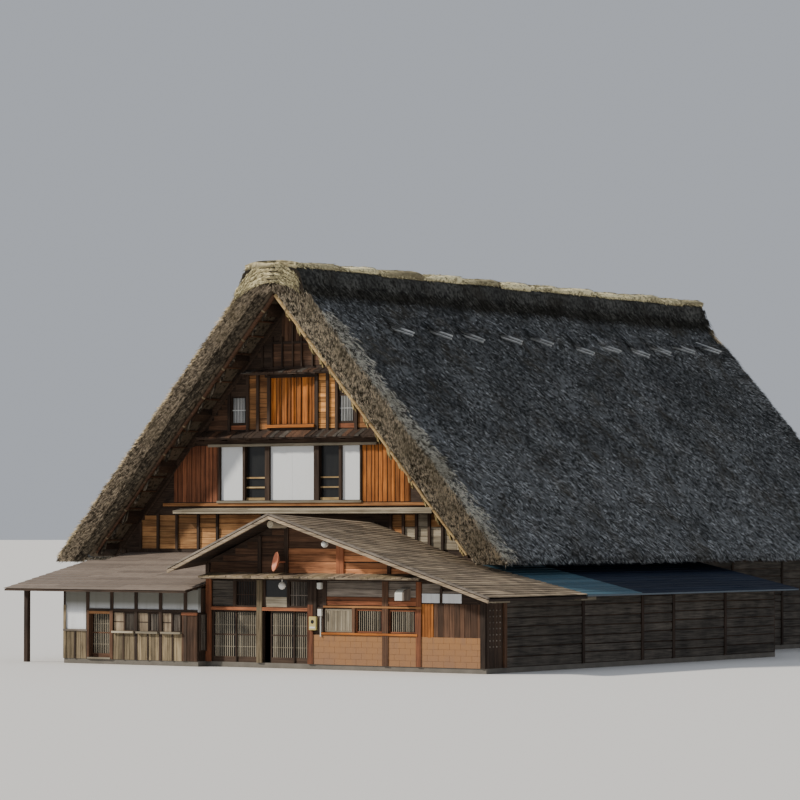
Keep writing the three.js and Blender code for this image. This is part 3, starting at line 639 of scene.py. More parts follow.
def finish_object(name, mesh, replaces=(), body="house", slot=None, smooth=False, bevel=0.0):
    """Puts a mesh in the scene, riding on its body."""
    mesh.validate()
    mesh.update()
    if smooth:
        mesh.polygons.foreach_set("use_smooth", [True] * len(mesh.polygons))
    thing = bpy.data.objects.new(name, mesh)
    bpy.context.scene.collection.objects.link(thing)
    if bevel:
        rounding = thing.modifiers.new("Worn edges", "BEVEL")
        rounding.width = bevel
        rounding.segments = 1
        rounding.limit_method = "ANGLE"
    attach(thing, body)
    if replaces:
        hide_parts(*replaces)


def paint(finish, *nodes):
    """Gives CAD nodes a finish."""
    for node in nodes:
        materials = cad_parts[node].data.materials
        materials.clear()
        materials.append(FINISHES[finish])


class Wall:
    """A wall plane: a runs along it, z is height and out is how far a thing stands proud."""

    def __init__(self, origin, along, outward):
        self.origin = Vector((*origin, 0))
        self.along = Vector((*along, 0))
        self.outward = Vector((*outward, 0))

    def at(self, a, out, z):
        """A point on the wall."""
        return self.origin + self.along * a + self.outward * out + Vector((0, 0, z))

    def prism(self, shape, ring, lows, highs, finish):
        """A block over four places on the wall, each with a lower and an upper height."""
        low, high = ([self.at(a, o, z) for (a, o), z in zip(ring, zs)] for zs in (lows, highs))
        shape.hexa(low, high, finish)

    def block(self, shape, a0, a1, z0, z1, out0, out1, finish):
        """A block on the wall."""
        self.prism(shape, four(a0, a1, out0, out1), [z0] * 4, [z1] * 4, finish)

    def post(self, shape, a, wide, z0, z1, out, finish):
        """A post on the wall's face, with its middle at a."""
        self.block(shape, a - wide / 2, a + wide / 2, z0, z1, 0.0, out, finish)

    def flat_boards(
        self, shape, a0, a1, z0, z1, finish, rng, width=0.2, out=0.022, limit=None, base=0.0, gap=0.012
    ):
        """Boards laid level, one above the other, clipped by the slope of a roof."""
        z = z0
        while z < z1 - 0.03:
            top = min(z + width * rng.uniform(0.8, 1.2), z1)
            left, right = a0, a1
            if limit:
                reach = limit(top)
                left, right = max(left, -reach), min(right, reach)
            if right - left > 0.05:
                proud = base + out * rng.uniform(0.55, 1.0)
                tilt = rng.uniform(-0.004, 0.004)
                tilts = (tilt, -tilt, -tilt, tilt)
                lows = [z + gap / 2 + t for t in tilts]
                highs = [top - gap / 2 + t for t in tilts]
                self.prism(shape, four(left, right, base, proud), lows, highs, finish)
            z = top

    def upright_boards(
        self, shape, a0, a1, z0, z1, finish, rng, width=0.2, out=0.022, limit=None, base=0.0, gap=0.012
    ):
        """Boards set upright, side by side, clipped by the slope of a roof."""
        a = a0
        while a < a1 - 0.03:
            end = min(a + width * rng.uniform(0.8, 1.2), a1)
            left_top, right_top = (min(z1, limit(x)) if limit else z1 for x in (a, end))
            if min(left_top, right_top) > z0 + 0.05:
                proud = base + out * rng.uniform(0.5, 1.0)
                ring = four(a + gap / 2, end - gap / 2, base, proud)
                self.prism(shape, ring, [z0] * 4, [left_top, right_top, right_top, left_top], finish)
            a = end

    def lattice(self, shape, a0, a1, z0, z1, bars, rails, bar_wood, frame_wood, out=0.0, frame_width=0.04):
        """A window of upright bars in a frame."""
        bar = look("timber").bar_width
        f = frame_width
        for left, right in ((a0, a0 + f), (a1 - f, a1)):
            self.block(shape, left, right, z0, z1, out - 0.04, out + 0.012, frame_wood + " z")
        for low, high in ((z0, z0 + f), (z1 - f, z1)):
            self.block(shape, a0 + f, a1 - f, low, high, out - 0.04, out + 0.01, frame_wood + " x")
        step = (a1 - a0 - 2 * f) / (bars + 1)
        for i in range(bars):
            a = a0 + f + step * (i + 1)
            self.block(shape, a - bar / 2, a + bar / 2, z0 + f, z1 - f, out - 0.022, out, bar_wood + " z")
        for z in rails:
            self.block(shape, a0 + f, a1 - f, z - 0.012, z + 0.012, out - 0.03, out - 0.008, bar_wood + " x")


FRONT = Wall((0, 0), (1, 0), (0, -1))
BACK = Wall((0, LENGTH), (-1, 0), (0, 1))
ENTRANCE = Wall((0, ENTRANCE_FACE), (1, 0), (0, -1))
WING = Wall((0, WING_FACE), (1, 0), (0, -1))
AISLE = Wall((AISLE_FACE, 0), (0, 1), (1, 0))
AISLE_END = Wall((0, 12.2), (1, 0), (0, 1))
LEFT = Wall((-HALF_SPAN, 0), (0, 1), (-1, 0))
RIGHT_REAR = Wall((HALF_SPAN, 0), (0, 1), (1, 0))
WING_SIDE = Wall((WING_LEFT, 0), (0, 1), (-1, 0))
WING_RETURN = Wall((0, 0), (0, 1), (1, 0))


# The two ends of the box that reeds keep inside.
REED_LOW = np.array([-REACH_X, REACH_FRONT, 0.0])
REED_HIGH = np.array([REACH_X, REACH_BACK, 12.185])


def placed(points, side, back):
    """Points of the front right part of the roof, mirrored to another part and kept in the box."""
    points = np.array(points) * (side, 1.0, 1.0)
    if back:
        points[:, 1] = LENGTH - points[:, 1]
    return np.clip(points, REED_LOW, REED_HIGH)


def reed_mesh(name, roots, tips, widths, finish, slot, side=1, back=False):
    """Thin three-sided spikes from roots to tips, as one mesh."""
    roots, tips = placed(roots, side, back), placed(tips, side, back)
    axis = tips - roots
    axis /= np.maximum(np.linalg.norm(axis, axis=1, keepdims=True), 1e-6)
    helper = np.where(np.abs(axis[:, 2:3]) < 0.9, [[0.0, 0.0, 1.0]], [[1.0, 0.0, 0.0]])
    across = np.cross(axis, helper)
    across /= np.linalg.norm(across, axis=1, keepdims=True)
    other = np.cross(axis, across)
    count = len(roots)
    corners = np.empty((count, 4, 3), np.float32)
    for i in range(3):
        turn = 2 * math.pi * i / 3 + 0.4
        corners[:, i] = roots + (across * math.cos(turn) + other * math.sin(turn)) * widths[:, None]
    corners[:, 3] = tips
    corners = np.clip(corners, REED_LOW, REED_HIGH)
    pattern = np.array([0, 1, 3, 1, 2, 3, 2, 0, 3], np.int32)
    indices = (pattern[None, :] + 4 * np.arange(count, dtype=np.int32)[:, None]).ravel()
    mesh = bpy.data.meshes.new(name)
    mesh.vertices.add(count * 4)
    mesh.vertices.foreach_set("co", corners.ravel())
    mesh.loops.add(count * 9)
    mesh.loops.foreach_set("vertex_index", indices)
    mesh.polygons.add(count * 3)
    mesh.polygons.foreach_set("loop_start", np.arange(0, count * 9, 3, dtype=np.int32))
    mesh.polygons.foreach_set("loop_total", np.full(count * 3, 3, np.int32))
    mesh.materials.append(FINISHES[finish])
    finish_object(name, mesh, slot=slot)


def lumps(s, y):
    """Height of the thatch's soft lumps, from slope distance and length along the ridge."""
    waves = ((0.83, 0.61, 0.4, 1.0), (1.7, -1.13, 2.1, 0.7), (-0.47, 2.3, 1.3, 0.6), (3.1, 1.9, 0.2, 0.35))
    return 0.016 * sum(k * np.sin(a * s + b * y + c) for a, b, c, k in waves)


SHOULDER = (outer_roof(0) - THATCH_TOP) / ROOF_TAN
EAVE_OUT = 8.33
SLOPE_RUN = (EAVE_OUT - SHOULDER) / math.cos(ROOF_ANGLE)
# The right slope's finish carries painted shade; the left slope's sunny finish is its sunlit copy.
SLOPE_FINISH = {1: "shaded slope reeds", -1: "sunny reeds"}
# How far past a gable wall the reeds, the cap and the barge poles reach.
REED_END = 0.98
CAP_END = 1.08
BARGE_OUT = 0.88
# The outer face is drawn in from here to the verge, by this much at its edge.
ROUND_FROM = 0.78
VERGE_INSET = 0.17
# Stations near the front verge, and how far the outer face is drawn in at each.
VERGE_STEPS = ((-1.0, VERGE_INSET), (-0.97, 0.09), (-0.9, 0.035), (-ROUND_FROM, 0.0))
SLOPE_STEPS = 44
SOFFIT_CORNERS = 2


def bed_ring(y, inset):
    """Section of the right slope's bed: its underside, then its outer face from eave to ridge."""
    ring = [(x, inner_roof(x) + 0.002 + inset * 0.55) for x in (0.0, 3.6, 7.2)]
    ring += [(7.8, 3.1 + inset * 0.4), (8.2 - inset * 0.5, 3.08 + inset * 0.4)]
    for i in range(SLOPE_STEPS + 1):
        t = 1 - i / SLOPE_STEPS
        s = t * SLOPE_RUN
        drop = 0.055 + inset - lumps(s, y)
        if t > 0.985:
            drop += 0.05
        x = SHOULDER + s * math.cos(ROOF_ANGLE) - drop * math.sin(ROOF_ANGLE)
        z = THATCH_TOP - s * math.sin(ROOF_ANGLE) - drop * math.cos(ROOF_ANGLE)
        ring.append((x, z))
    return [*ring, (0.0, THATCH_TOP - 0.02)]


def thatch_bed(side):
    """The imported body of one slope, with soft lumps and rounded edges."""
    stations = [*VERGE_STEPS, *((y, 0.0) for y in np.arange(-0.5, LENGTH + 0.51, 0.3))]
    stations += [(LENGTH - y, inset) for y, inset in reversed(VERGE_STEPS)]
    corners = [(side * x, y, z) for y, inset in stations for x, z in bed_ring(y, inset)]
    count = len(corners) // len(stations)
    faces, soffit = [], []
    for i, face in enumerate(tube_faces(len(stations), count)):
        (soffit if i % count < SOFFIT_CORNERS else faces).append(face)
    shape = Shape()
    shape.add(corners, faces, "slope bed")
    shape.add([], soffit, "verge bed", 0)
    shape.add([], end_faces(len(stations), count), "dry bed" if side > 0 else "verge bed", 0)
    name = side_name(side)
    shape.make(f"thatch_bed_{name}", [f"thatch_{name}"], slot="thatch", smooth=True)


def on_slope(s, depth):
    """Places at distance s down the right slope and depth under its outer face."""
    return np.array([SHOULDER, 0.0, THATCH_TOP]) + s[:, None] * DOWN_SLOPE - depth[:, None] * SLOPE_NORMAL


REEDS_A_TUFT = 8


def slope_reeds(side):
    """Tufts of reeds that lie down one slope."""
    settings = look("thatch")
    rng = np.random.default_rng(11 if side > 0 else 12)
    count = settings.reeds
    tufts = count // REEDS_A_TUFT
    tuft = rng.integers(0, tufts, count)
    s = rng.uniform(0.1, SLOPE_RUN, tufts)[tuft] + rng.normal(0, 0.05, count)
    s = np.clip(s, 0.08, SLOPE_RUN)
    y = rng.uniform(-1.0, LENGTH + 1.0, tufts)[tuft] + rng.normal(0, 0.045, count)
    y = np.clip(y, -REED_END, LENGTH + REED_END)
    near_eave = np.clip((s - SLOPE_RUN + 2.0) / 2.0, 0, 1)
    length = settings.reed_length * rng.uniform(0.4, 1.3, count) * (1 + 0.5 * near_eave)
    edge = np.maximum(0, np.maximum(-ROUND_FROM - y, y - LENGTH - ROUND_FROM)) / 0.2
    inset = VERGE_INSET * np.clip(edge, 0, 1) ** 2
    place = on_slope(s, 0.06 + inset - lumps(s, y))
    place[:, 1] = y
    sway = rng.normal(0, 0.34, tufts)[tuft] + rng.normal(0, 0.2, count)
    lift = rng.uniform(0.04, 0.26, tufts)[tuft] + rng.uniform(0.0, 0.12, count)
    heading = DOWN_SLOPE[None, :] * np.cos(sway)[:, None]
    heading[:, 1] += np.sin(sway)
    tips = place + heading * length[:, None] + SLOPE_NORMAL * (lift * length + 0.01)[:, None]
    widths = settings.reed_width * rng.uniform(0.6, 1.25, count)
    reed_mesh(f"thatch_reeds_{side_name(side)}", place, tips, widths, SLOPE_FINISH[side], "thatch", side)


def verge_points(rng, count, deep_low, deep_high):
    """Random places on the right slope's end face, between two depths under its outer face."""
    s = rng.uniform(-0.4, SLOPE_RUN + 0.25, count)
    place = on_slope(s, rng.uniform(deep_low, deep_high, count))
    keep = (place[:, 0] > 0.02) & (place[:, 2] < THATCH_TOP) & (place[:, 2] > 3.02)
    keep &= place[:, 2] > INNER_APEX - ROOF_TAN * place[:, 0] + 0.09
    return place[keep]


# Layers of a verge's face: lowest and greatest depth, how far it stands out, share of reeds, sag.
VERGE_LAYERS = ((0.0, 0.5, 0.07, 0.6, 0.35), (0.55, 0.9, 0.025, 0.4, 0.1))
RIM_SHARE = 0.65
REEDS_A_RIM_TUFT = 10


def verge_reeds(side, back):
    """Reed ends on one end face: a proud upper layer over a lower one that is set back."""
    settings = look("thatch")
    rng = np.random.default_rng(31 + (2 if back else 0) + (1 if side > 0 else 0))
    layers = []
    for deep_low, deep_high, stand, share, sag in VERGE_LAYERS:
        start = verge_points(rng, int(settings.verge_reeds * share), deep_low, deep_high)
        count = len(start)
        start[:, 1] = -0.99 + rng.uniform(0, 0.03, count)
        length = rng.uniform(0.14, 0.42, count)
        heading = DOWN_SLOPE[None, :] * rng.uniform(0.5, 1.0, count)[:, None]
        heading = heading - SLOPE_NORMAL[None, :] * rng.uniform(-0.15, sag, count)[:, None]
        tips = start + heading * length[:, None]
        tips[:, 1] = -1.01 - stand - rng.uniform(0, 0.055, count)
        tips[:, 2] = np.maximum(tips[:, 2], 3.0)
        layers.append((start, tips))

    def put(name, start, tips, finish):
        """One mesh of reeds on this end of the roof."""
        widths = settings.reed_width * rng.uniform(0.8, 1.7, len(start))
        name = f"{name}_{end_name(back)}_{side_name(side)}"
        reed_mesh(name, start, tips, widths, finish, "thatch", side, back)

    upper, lower = layers
    put("verge_reeds", *upper, "verge reeds" if side > 0 else "old verge reeds")
    put("verge_under_reeds", *lower, "verge reeds" if side > 0 else "shaded reeds")
    rim = int(settings.verge_reeds * RIM_SHARE)
    tufts = rim // REEDS_A_RIM_TUFT
    tuft = rng.integers(0, tufts, rim)
    s = rng.uniform(1.2 if side > 0 else 0.0, SLOPE_RUN, tufts)[tuft] + rng.normal(0, 0.05, rim)
    over = (0.12 + 0.8 * rng.random(tufts) ** 1.8)[tuft]
    start = on_slope(s, 0.05 + rng.uniform(0, 0.08, rim))
    start[:, 1] = -1.0 + over * rng.uniform(0.2, 1.0, rim)
    tips = start + DOWN_SLOPE * rng.uniform(0.12, 0.42, rim)[:, None]
    tips[:, 1] = start[:, 1] - rng.uniform(0.02, 0.24, rim)
    stand = rng.uniform(0.03, 0.15, tufts)[tuft] + rng.uniform(0.0, 0.05, rim)
    tips += SLOPE_NORMAL * stand[:, None]
    # Only the front rim gets the rim reeds' painted sunlight; the back rim takes the slope finish.
    sunny = "shaded slope reeds" if back else "rim reeds"
    put("rim_reeds", start, tips, sunny if side > 0 else "old rim reeds")


EAVE_REEDS = 9000


def eave_reeds(side):
    """Ragged reed ends along the eave and under it."""
    rng = np.random.default_rng(51 if side > 0 else 52)
    count = EAVE_REEDS
    y = rng.uniform(-REED_END, LENGTH + REED_END, count)
    x = rng.uniform(7.25, 8.3, count)
    outer = rng.random(count) < 0.45
    x[outer] = rng.uniform(8.0, 8.32, outer.sum())
    z = 3.16 - 0.06 * (x - 7.2)
    z[outer] = outer_roof(0) - ROOF_TAN * x[outer] - rng.uniform(0.05, 0.35, outer.sum())
    roots = np.stack([x, y, np.maximum(z, 3.06)], axis=1)
    heading = DOWN_SLOPE[None, :] * rng.uniform(0.6, 1.2, count)[:, None]
    heading[:, 1] += rng.normal(0, 0.15, count)
    tips = roots + heading * rng.uniform(0.07, 0.2, count)[:, None]
    tips[:, 2] = np.maximum(tips[:, 2], 2.93)
    widths = look("thatch").reed_width * rng.uniform(0.7, 1.3, count)
    reed_mesh(f"eave_reeds_{side_name(side)}", roots, tips, widths, SLOPE_FINISH[side], "thatch", side)


REEDS_A_LATH = 34
LATH_END = -0.8


def soffit_reeds(side, back):
    """Laths under the overhang of a verge, with loose reeds hanging at their outer ends."""
    shape = Shape()
    rng = random.Random(f"soffit {side} {back}")
    roots, tips = [], []
    x = 0.35
    while x < 7.0:
        depth = 0.05 + rng.uniform(0, 0.03)
        z = inner_roof(x) - depth
        y0, y1 = LATH_END + rng.uniform(-0.03, 0.08), -0.005
        if back:
            y0, y1 = LENGTH - y1, LENGTH - y0
        shape.rod((side * x, y0, z), (side * x, y1, z), rng.uniform(0.025, 0.038), "umber y", 6)
        longest = rng.uniform(0.34, 0.54)
        for _ in range(REEDS_A_LATH):
            away = x + rng.uniform(-0.07, 0.07)
            y = LATH_END + rng.uniform(-0.06, 0.04)
            hang = longest * rng.uniform(0.7, 1.0)
            roots.append((away + 0.3 * hang, y, inner_roof(away) - 0.02 - hang))
            tips.append((away, y, inner_roof(away) - 0.02))
        x += rng.uniform(0.36, 0.48)
    name = f"{end_name(back)}_{side_name(side)}"
    shape.make(f"soffit_laths_{name}", slot="straw")
    widths = np.array([rng.uniform(0.015, 0.028) for _ in roots])
    finish = "hanging reeds" if side > 0 else "shaded reeds"
    reed_mesh(f"soffit_reeds_{name}", roots, tips, widths, finish, "straw", side, back)


class FARMHOUSE_OT_thatch(bpy.types.Operator):
    """Makes both reed slopes with their verges and eaves"""

    bl_idname = "farmhouse.thatch"
    bl_label = "Thatch"

    def execute(self, context):
        for side in (1, -1):
            thatch_bed(side)
            slope_reeds(side)
            eave_reeds(side)
            for back in (False, True):
                verge_reeds(side, back)
                soffit_reeds(side, back)
        return {"FINISHED"}


# Right half of the cap's section: from its crown down to the foot, then back under it.
CAP_SECTION = (
    (0.0, 11.99),
    (0.7, 11.975),
    (0.97, 11.93),
    (1.12, 11.78),
    (1.27, 11.36),
    (1.335, 11.1),
    (0.985, 11.49),
)


def cap_point(t):
    """A place on the right half of the cap's section, t from the crown down to the foot."""
    lengths = [math.dist(a, b) for a, b in zip(CAP_SECTION[:5], CAP_SECTION[1:6])]
    left = t * sum(lengths)
    for (a, b), length in zip(zip(CAP_SECTION[:5], CAP_SECTION[1:6]), lengths):
        if left <= length:
            k = left / length
            return a[0] + (b[0] - a[0]) * k, a[1] + (b[1] - a[1]) * k
        left -= length
    return CAP_SECTION[5]


def ridge_cap_body():
    """Packed reed under the ridge mats."""
    ring = [*CAP_SECTION, *((-x, z) for x, z in reversed(CAP_SECTION[1:]))]
    stations = [-1.1, *np.arange(-0.9, LENGTH + 1.0, 0.45), LENGTH + 1.1]
    corners = []
    for y in stations:
        tight = 0.05 if y in (stations[0], stations[-1]) else 0.0
        for i, (x, z) in enumerate(ring):
            wave = 0.012 * math.sin(1.9 * y + i) + 0.01 * math.sin(4.3 * y + 2 * i)
            corners.append((x * (1 - tight) + math.copysign(wave, x), y, z - tight + wave * 0.5))
    count = len(ring)
    shape = Shape()
    # The body takes the cap reeds, darkened with painted shade.
    shape.add(corners, tube_faces(len(stations), count), "cap reeds")
    for end in (corners[:count], corners[-count:]):
        shape.add(end, [tuple(range(count))], "verge bed")
    shape.make("ridge_cap_body", ["ridge_cap"], slot="straw", smooth=True)


COMBED_REEDS = 9000
FOOT_REEDS = 6000


def ridge_cap_reeds():
    """Reeds combed down the sides of the cap, and longer ones that lie out from its foot."""
    rng = np.random.default_rng(71)
    roots, tips, sides = [], [], []
    for _ in range(COMBED_REEDS):
        t = rng.uniform(0.45, 0.93)
        sides.append(rng.choice((-1, 1)))
        y = rng.uniform(-CAP_END, LENGTH + CAP_END)
        x0, z0 = cap_point(t)
        x1, z1 = cap_point(min(1.0, t + rng.uniform(0.06, 0.16)))
        lift = rng.uniform(0.0, 0.014)
        roots.append((x0, y, z0))
        tips.append((x1 + lift, y + rng.normal(0, 0.03), z1 + lift))
    for _ in range(FOOT_REEDS):
        sides.append(rng.choice((-1, 1)))
        y = rng.uniform(-1.05, LENGTH + 1.05)
        x0, z0 = cap_point(rng.uniform(0.8, 1.0))
        reach = rng.uniform(0.1, 0.5)
        stand = rng.uniform(0.0, 0.05)
        x1 = x0 + reach * DOWN_SLOPE[0] + stand * SLOPE_NORMAL[0]
        z1 = z0 + reach * DOWN_SLOPE[2] + stand * SLOPE_NORMAL[2]
        roots.append((x0, y, z0))
        tips.append((x1, y + rng.normal(0, 0.06), z1))
    widths = rng.uniform(0.008, 0.017, len(roots))
    roots, tips, sides = np.array(roots), np.array(tips), np.array(sides)
    # The right side's cap reeds carry painted shade; the left side gets the sunlit copy.
    for side, finish in ((1, "cap reeds"), (-1, "sunny cap reeds")):
        own = sides == side
        name = f"ridge_cap_reeds_{side_name(side)}"
        reed_mesh(name, roots[own], tips[own], widths[own], finish, "straw", side)


# Places on the cap's crown, from its middle out to the pads' edge.
PAD_ARC = ((0.0, 12.03), (0.4, 12.025), (0.72, 11.99), (0.95, 11.94), (1.08, 11.86))


def pad_point(a):
    """A place on the cap's crown, a from -1 at the pads' left edge to 1 at their right one."""
    k = min(abs(a), 1.0) * (len(PAD_ARC) - 1)
    i = min(int(k), len(PAD_ARC) - 2)
    t = k - i
    x = PAD_ARC[i][0] + (PAD_ARC[i + 1][0] - PAD_ARC[i][0]) * t
    z = PAD_ARC[i][1] + (PAD_ARC[i + 1][1] - PAD_ARC[i][1]) * t
    return math.copysign(x, a), z


# Places along a pad after its start, and the share of its thickness at each.
PAD_SWELL = ((0.35, 0.6), (0.75, 0.95), (0.94, 1.0), (1.0, 0.72))
PAD_STEPS = 12


def straw_pad(shape, rng, y, end, reach, start_height):
    """One pad of straw across the ridge: thin where it starts and thick where it stops."""
    thick = rng.uniform(0.11, 0.2)
    rows = []
    for t, height in ((0.0, start_height), *PAD_SWELL):
        outer, inner = [], []
        for i in range(PAD_STEPS + 1):
            a = (2 * i / PAD_STEPS - 1) * reach * (1 - 0.05 * (1 - t))
            x, z = pad_point(a)
            swell = thick * height * (1 - 0.2 * abs(a) ** 3)
            where = y + (end - y) * t + 0.05 * math.sin(5 * a + y)
            outer.append((x * (1 + 0.3 * thick), where, min(z + swell, 12.15)))
            inner.append((x * 0.97, where, z - 0.06))
        rows.append(outer + inner[::-1])
    count = len(rows[0])
    faces = end_faces(len(rows), count) + tube_faces(len(rows), count)
    shape.add([corner for row in rows for corner in row], faces, "mat straw")
    return thick


STRAWS_A_PAD = 700
STRAWS_AN_END = 160


def loose_straw(rng, y, end, reach, thick):
    """Root and tip of each straw that stands out of a pad, most along its edges and its end."""
    pairs = []
    for _ in range(STRAWS_A_PAD):
        a = rng.uniform(-1, 1) * reach
        edge = rng.random() < 0.55
        if edge:
            a = math.copysign(rng.uniform(0.7, 1.0) * reach, a)
        b = a + math.copysign(rng.uniform(0.1, 0.26), a)
        x0, z0 = pad_point(a)
        x1, z1 = pad_point(b)
        over = max(0.0, abs(b) - 1.0)
        x1 += math.copysign(over * 0.3, a)
        z1 -= over * 0.35
        t = rng.uniform(0.0, 1.0)
        swell = thick * (0.3 + 0.7 * t) * (1 - 0.2 * abs(a) ** 3)
        depth = rng.uniform(0.0, 1.0) * swell if edge else 0.0
        where = y + (end - y) * t
        skew = rng.gauss(0, 0.05)
        root = (x0, where, min(z0 + swell - depth, 12.14))
        tip = (x1, where + skew, min(z1 + swell - depth + rng.uniform(-0.01, 0.05), 12.18))
        pairs.append((root, tip))
    for _ in range(STRAWS_AN_END):
        a = rng.uniform(-1, 1) * reach
        x0, z0 = pad_point(a)
        lift = thick * rng.uniform(0.2, 1.0) * (1 - 0.5 * abs(a) ** 3)
        root = (x0, end - rng.uniform(0.05, 0.2), min(z0 + lift, 12.14))
        tip = (x0 + rng.gauss(0, 0.05), end + rng.uniform(0.0, 0.12), min(z0 + lift, 12.16))
        pairs.append((root, tip))
    return pairs


def ridge_mats():
    """Straw pads laid over the ridge, each with frayed edges."""
    rng = random.Random("ridge mats")
    shape = Shape()
    pairs = []
    start, stop = -1.12, LENGTH + 1.1
    y = start
    while y < LENGTH + 1.0:
        end = min(y + rng.uniform(1.5, 2.5), stop)
        if stop - end < 0.9:
            end = stop
        reach = rng.uniform(0.8, 1.0)
        thick = straw_pad(shape, rng, y, end, reach, 0.95 if y == start else 0.12)
        pairs += loose_straw(rng, y, end, reach, thick)
        y = end + rng.uniform(-0.05, 0.12)
    shape.make("ridge_mats", slot="straw", smooth=True)
    widths = np.array([rng.uniform(0.012, 0.03) for _ in pairs])
    roots, tips = zip(*pairs)
    reed_mesh("ridge_mat_straw", roots, tips, widths, "mat straw", "straw")


def drape(x):
    """How far a straw layer at the cap's end has fallen at distance x from the middle."""
    a = np.abs(x)
    return 0.1 * a**2 + np.maximum(0, a - 0.45) * 0.42 + np.maximum(0, a - 0.9) * 0.5


CAP_ROWS = 8
CAP_ROW_DROP = 0.118


def row_foot(x):
    """Lower edge of the straw rows at the cap's end, at distance x from the middle."""
    return 11.45 - 0.2 * x * x


def cap_bundles(shape, rng, y):
    """Bundles of straw side by side in rows over the end of the cap."""
    for row in range(CAP_ROWS):
        level = 11.99 - CAP_ROW_DROP * row
        x = -1.3 + rng.uniform(0.0, 0.25)
        while x < 0.98:
            end = min(x + rng.uniform(0.2, 0.45), 1.05)
            z0, z1 = level - drape(x), level - drape(end) + rng.uniform(-0.015, 0.015)
            if z0 > row_foot(x) and z1 > row_foot(end):
                radius = rng.uniform(0.04, 0.052)
                start = (x, y + rng.uniform(-0.006, 0.006), z0)
                shape.rod(start, (end, y, z1), radius, "mat straw", 7, radius * rng.uniform(0.75, 1.1))
            x = end + 0.012


STRAWS_A_ROW = 420
FRINGE_REEDS = 1500


def cap_end(back):
    """Rows of straw that close the end of the cap, over the old reeds at the apex."""
    name = end_name(back)
    shape = Shape()
    cap_bundles(shape, random.Random(f"cap {name}"), LENGTH + CAP_END if back else -CAP_END)
    shape.make(f"ridge_end_bundles_{name}", slot="straw", smooth=True)

    rng = np.random.default_rng(81 if back else 80)
    roots, tips = [], []
    for row in range(CAP_ROWS):
        x = rng.uniform(-1.34, 0.98, STRAWS_A_ROW)
        z = 12.0 - CAP_ROW_DROP * row - drape(x) + rng.normal(0, 0.022, STRAWS_A_ROW)
        keep = z > row_foot(x)
        x, z = x[keep], z[keep]
        count = len(x)
        away = np.sign(x) * rng.uniform(0.05, 0.2, count)
        end_z = z - (drape(x + away) - drape(x)) - rng.uniform(0.0, 0.03, count)
        roots.append(np.stack([x, rng.uniform(-1.13, -1.09, count), z], axis=1))
        out = rng.uniform(-1.14, -1.115, count)
        tips.append(np.stack([np.clip(x + away, -1.4, 1.4), out, end_z], axis=1))
    count = FRINGE_REEDS
    x = rng.uniform(-1.45, 1.45, count)
    z = row_foot(x) + rng.uniform(-0.2, 0.04, count)
    start = np.stack([x, rng.uniform(-1.06, -0.98, count), z], axis=1)
    fall = rng.uniform(0.08, 0.24, count)
    end = start + np.stack([np.sign(x) * fall * 0.75, -rng.uniform(0.02, 0.07, count), -fall * 0.8], axis=1)
    parts = (
        ("straw", np.concatenate(roots), np.concatenate(tips), "mat straw"),
        ("fringe", start, end, "old verge reeds"),
    )
    for part, first, last, finish in parts:
        widths = rng.uniform(0.008, 0.017, len(first))
        reed_mesh(f"ridge_end_{part}_{name}", first, last, widths, finish, "straw", back=back)


class FARMHOUSE_OT_ridge(bpy.types.Operator):
    """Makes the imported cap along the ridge, its straw mats and its ends"""

    bl_idname = "farmhouse.ridge"
    bl_label = "Ridge"

    def execute(self, context):
        ridge_cap_body()
        ridge_cap_reeds()
        ridge_mats()
        for back in (False, True):
            cap_end(back)
        return {"FINISHED"}


# Where each pair of poles stands along the ridge and its height at the middle.
NEEDLES = (
    (2.35, 10.06),
    (4.43, 10.05),
    (6.19, 10.02),
    (8.37, 10.06),
    (10.19, 10.06),
    (12.65, 9.87),
    (14.3, 10.0),
    (16.26, 9.92),
    (17.63, 10.06),
    (19.2, 10.16),
    (20.94, 10.24),
)
NEEDLE_MIDDLE = 2.6
NEEDLE_RADIUS = 0.034
REEDS_A_NEEDLE = 70


def needle_reeds(side):
    """Reeds that lie over the pole ends where they leave the thatch."""
    rng = np.random.default_rng(61 if side > 0 else 62)
    roots, tips = [], []
    each = REEDS_A_NEEDLE
    for y, z in NEEDLES:
        where = y + rng.uniform(-0.16, 0.16, each)
        x0 = rng.uniform(1.85, 2.1, each)
        x1 = rng.uniform(2.34, 2.49, each)
        over = z + 0.33 * (NEEDLE_MIDDLE - x1) + rng.uniform(0.035, 0.07, each)
        roots.append(np.stack([x0, where, outer_roof(0) - ROOF_TAN * x0 + 0.02], axis=1))
        tips.append(np.stack([x1, where + rng.normal(0, 0.05, each), over], axis=1))
    widths = rng.uniform(0.012, 0.022, each * len(NEEDLES))
    roots, tips = np.concatenate(roots), np.concatenate(tips)
    reed_mesh(f"needle_reeds_{side_name(side)}", roots, tips, widths, SLOPE_FINISH[side], "thatch", side)


def needle_poles(side):
    """Pairs of poles that stick out of one slope under the cap."""
    shape = Shape()
    rng = random.Random(f"needles {side}")
    inner = 1.9
    for y, z in NEEDLES:
        for k in (-1, 1):
            reach = rng.uniform(2.84, 2.92)
            fall = rng.uniform(0.3, 0.36)
            start_z, end_z = z + fall * (NEEDLE_MIDDLE - inner), z - fall * (reach - NEEDLE_MIDDLE)
            own_y = y + k * NEEDLE_RADIUS
            start = (side * inner, own_y, start_z + 0.04 * k)
            end = (side * reach, own_y + rng.uniform(-0.01, 0.02), end_z + 0.04 * k)
            shape.rod(start, end, NEEDLE_RADIUS, "silver x", 8, 0.03)
    shape.make(f"needle_poles_{side_name(side)}", slot="thatch")


LASHINGS = 9


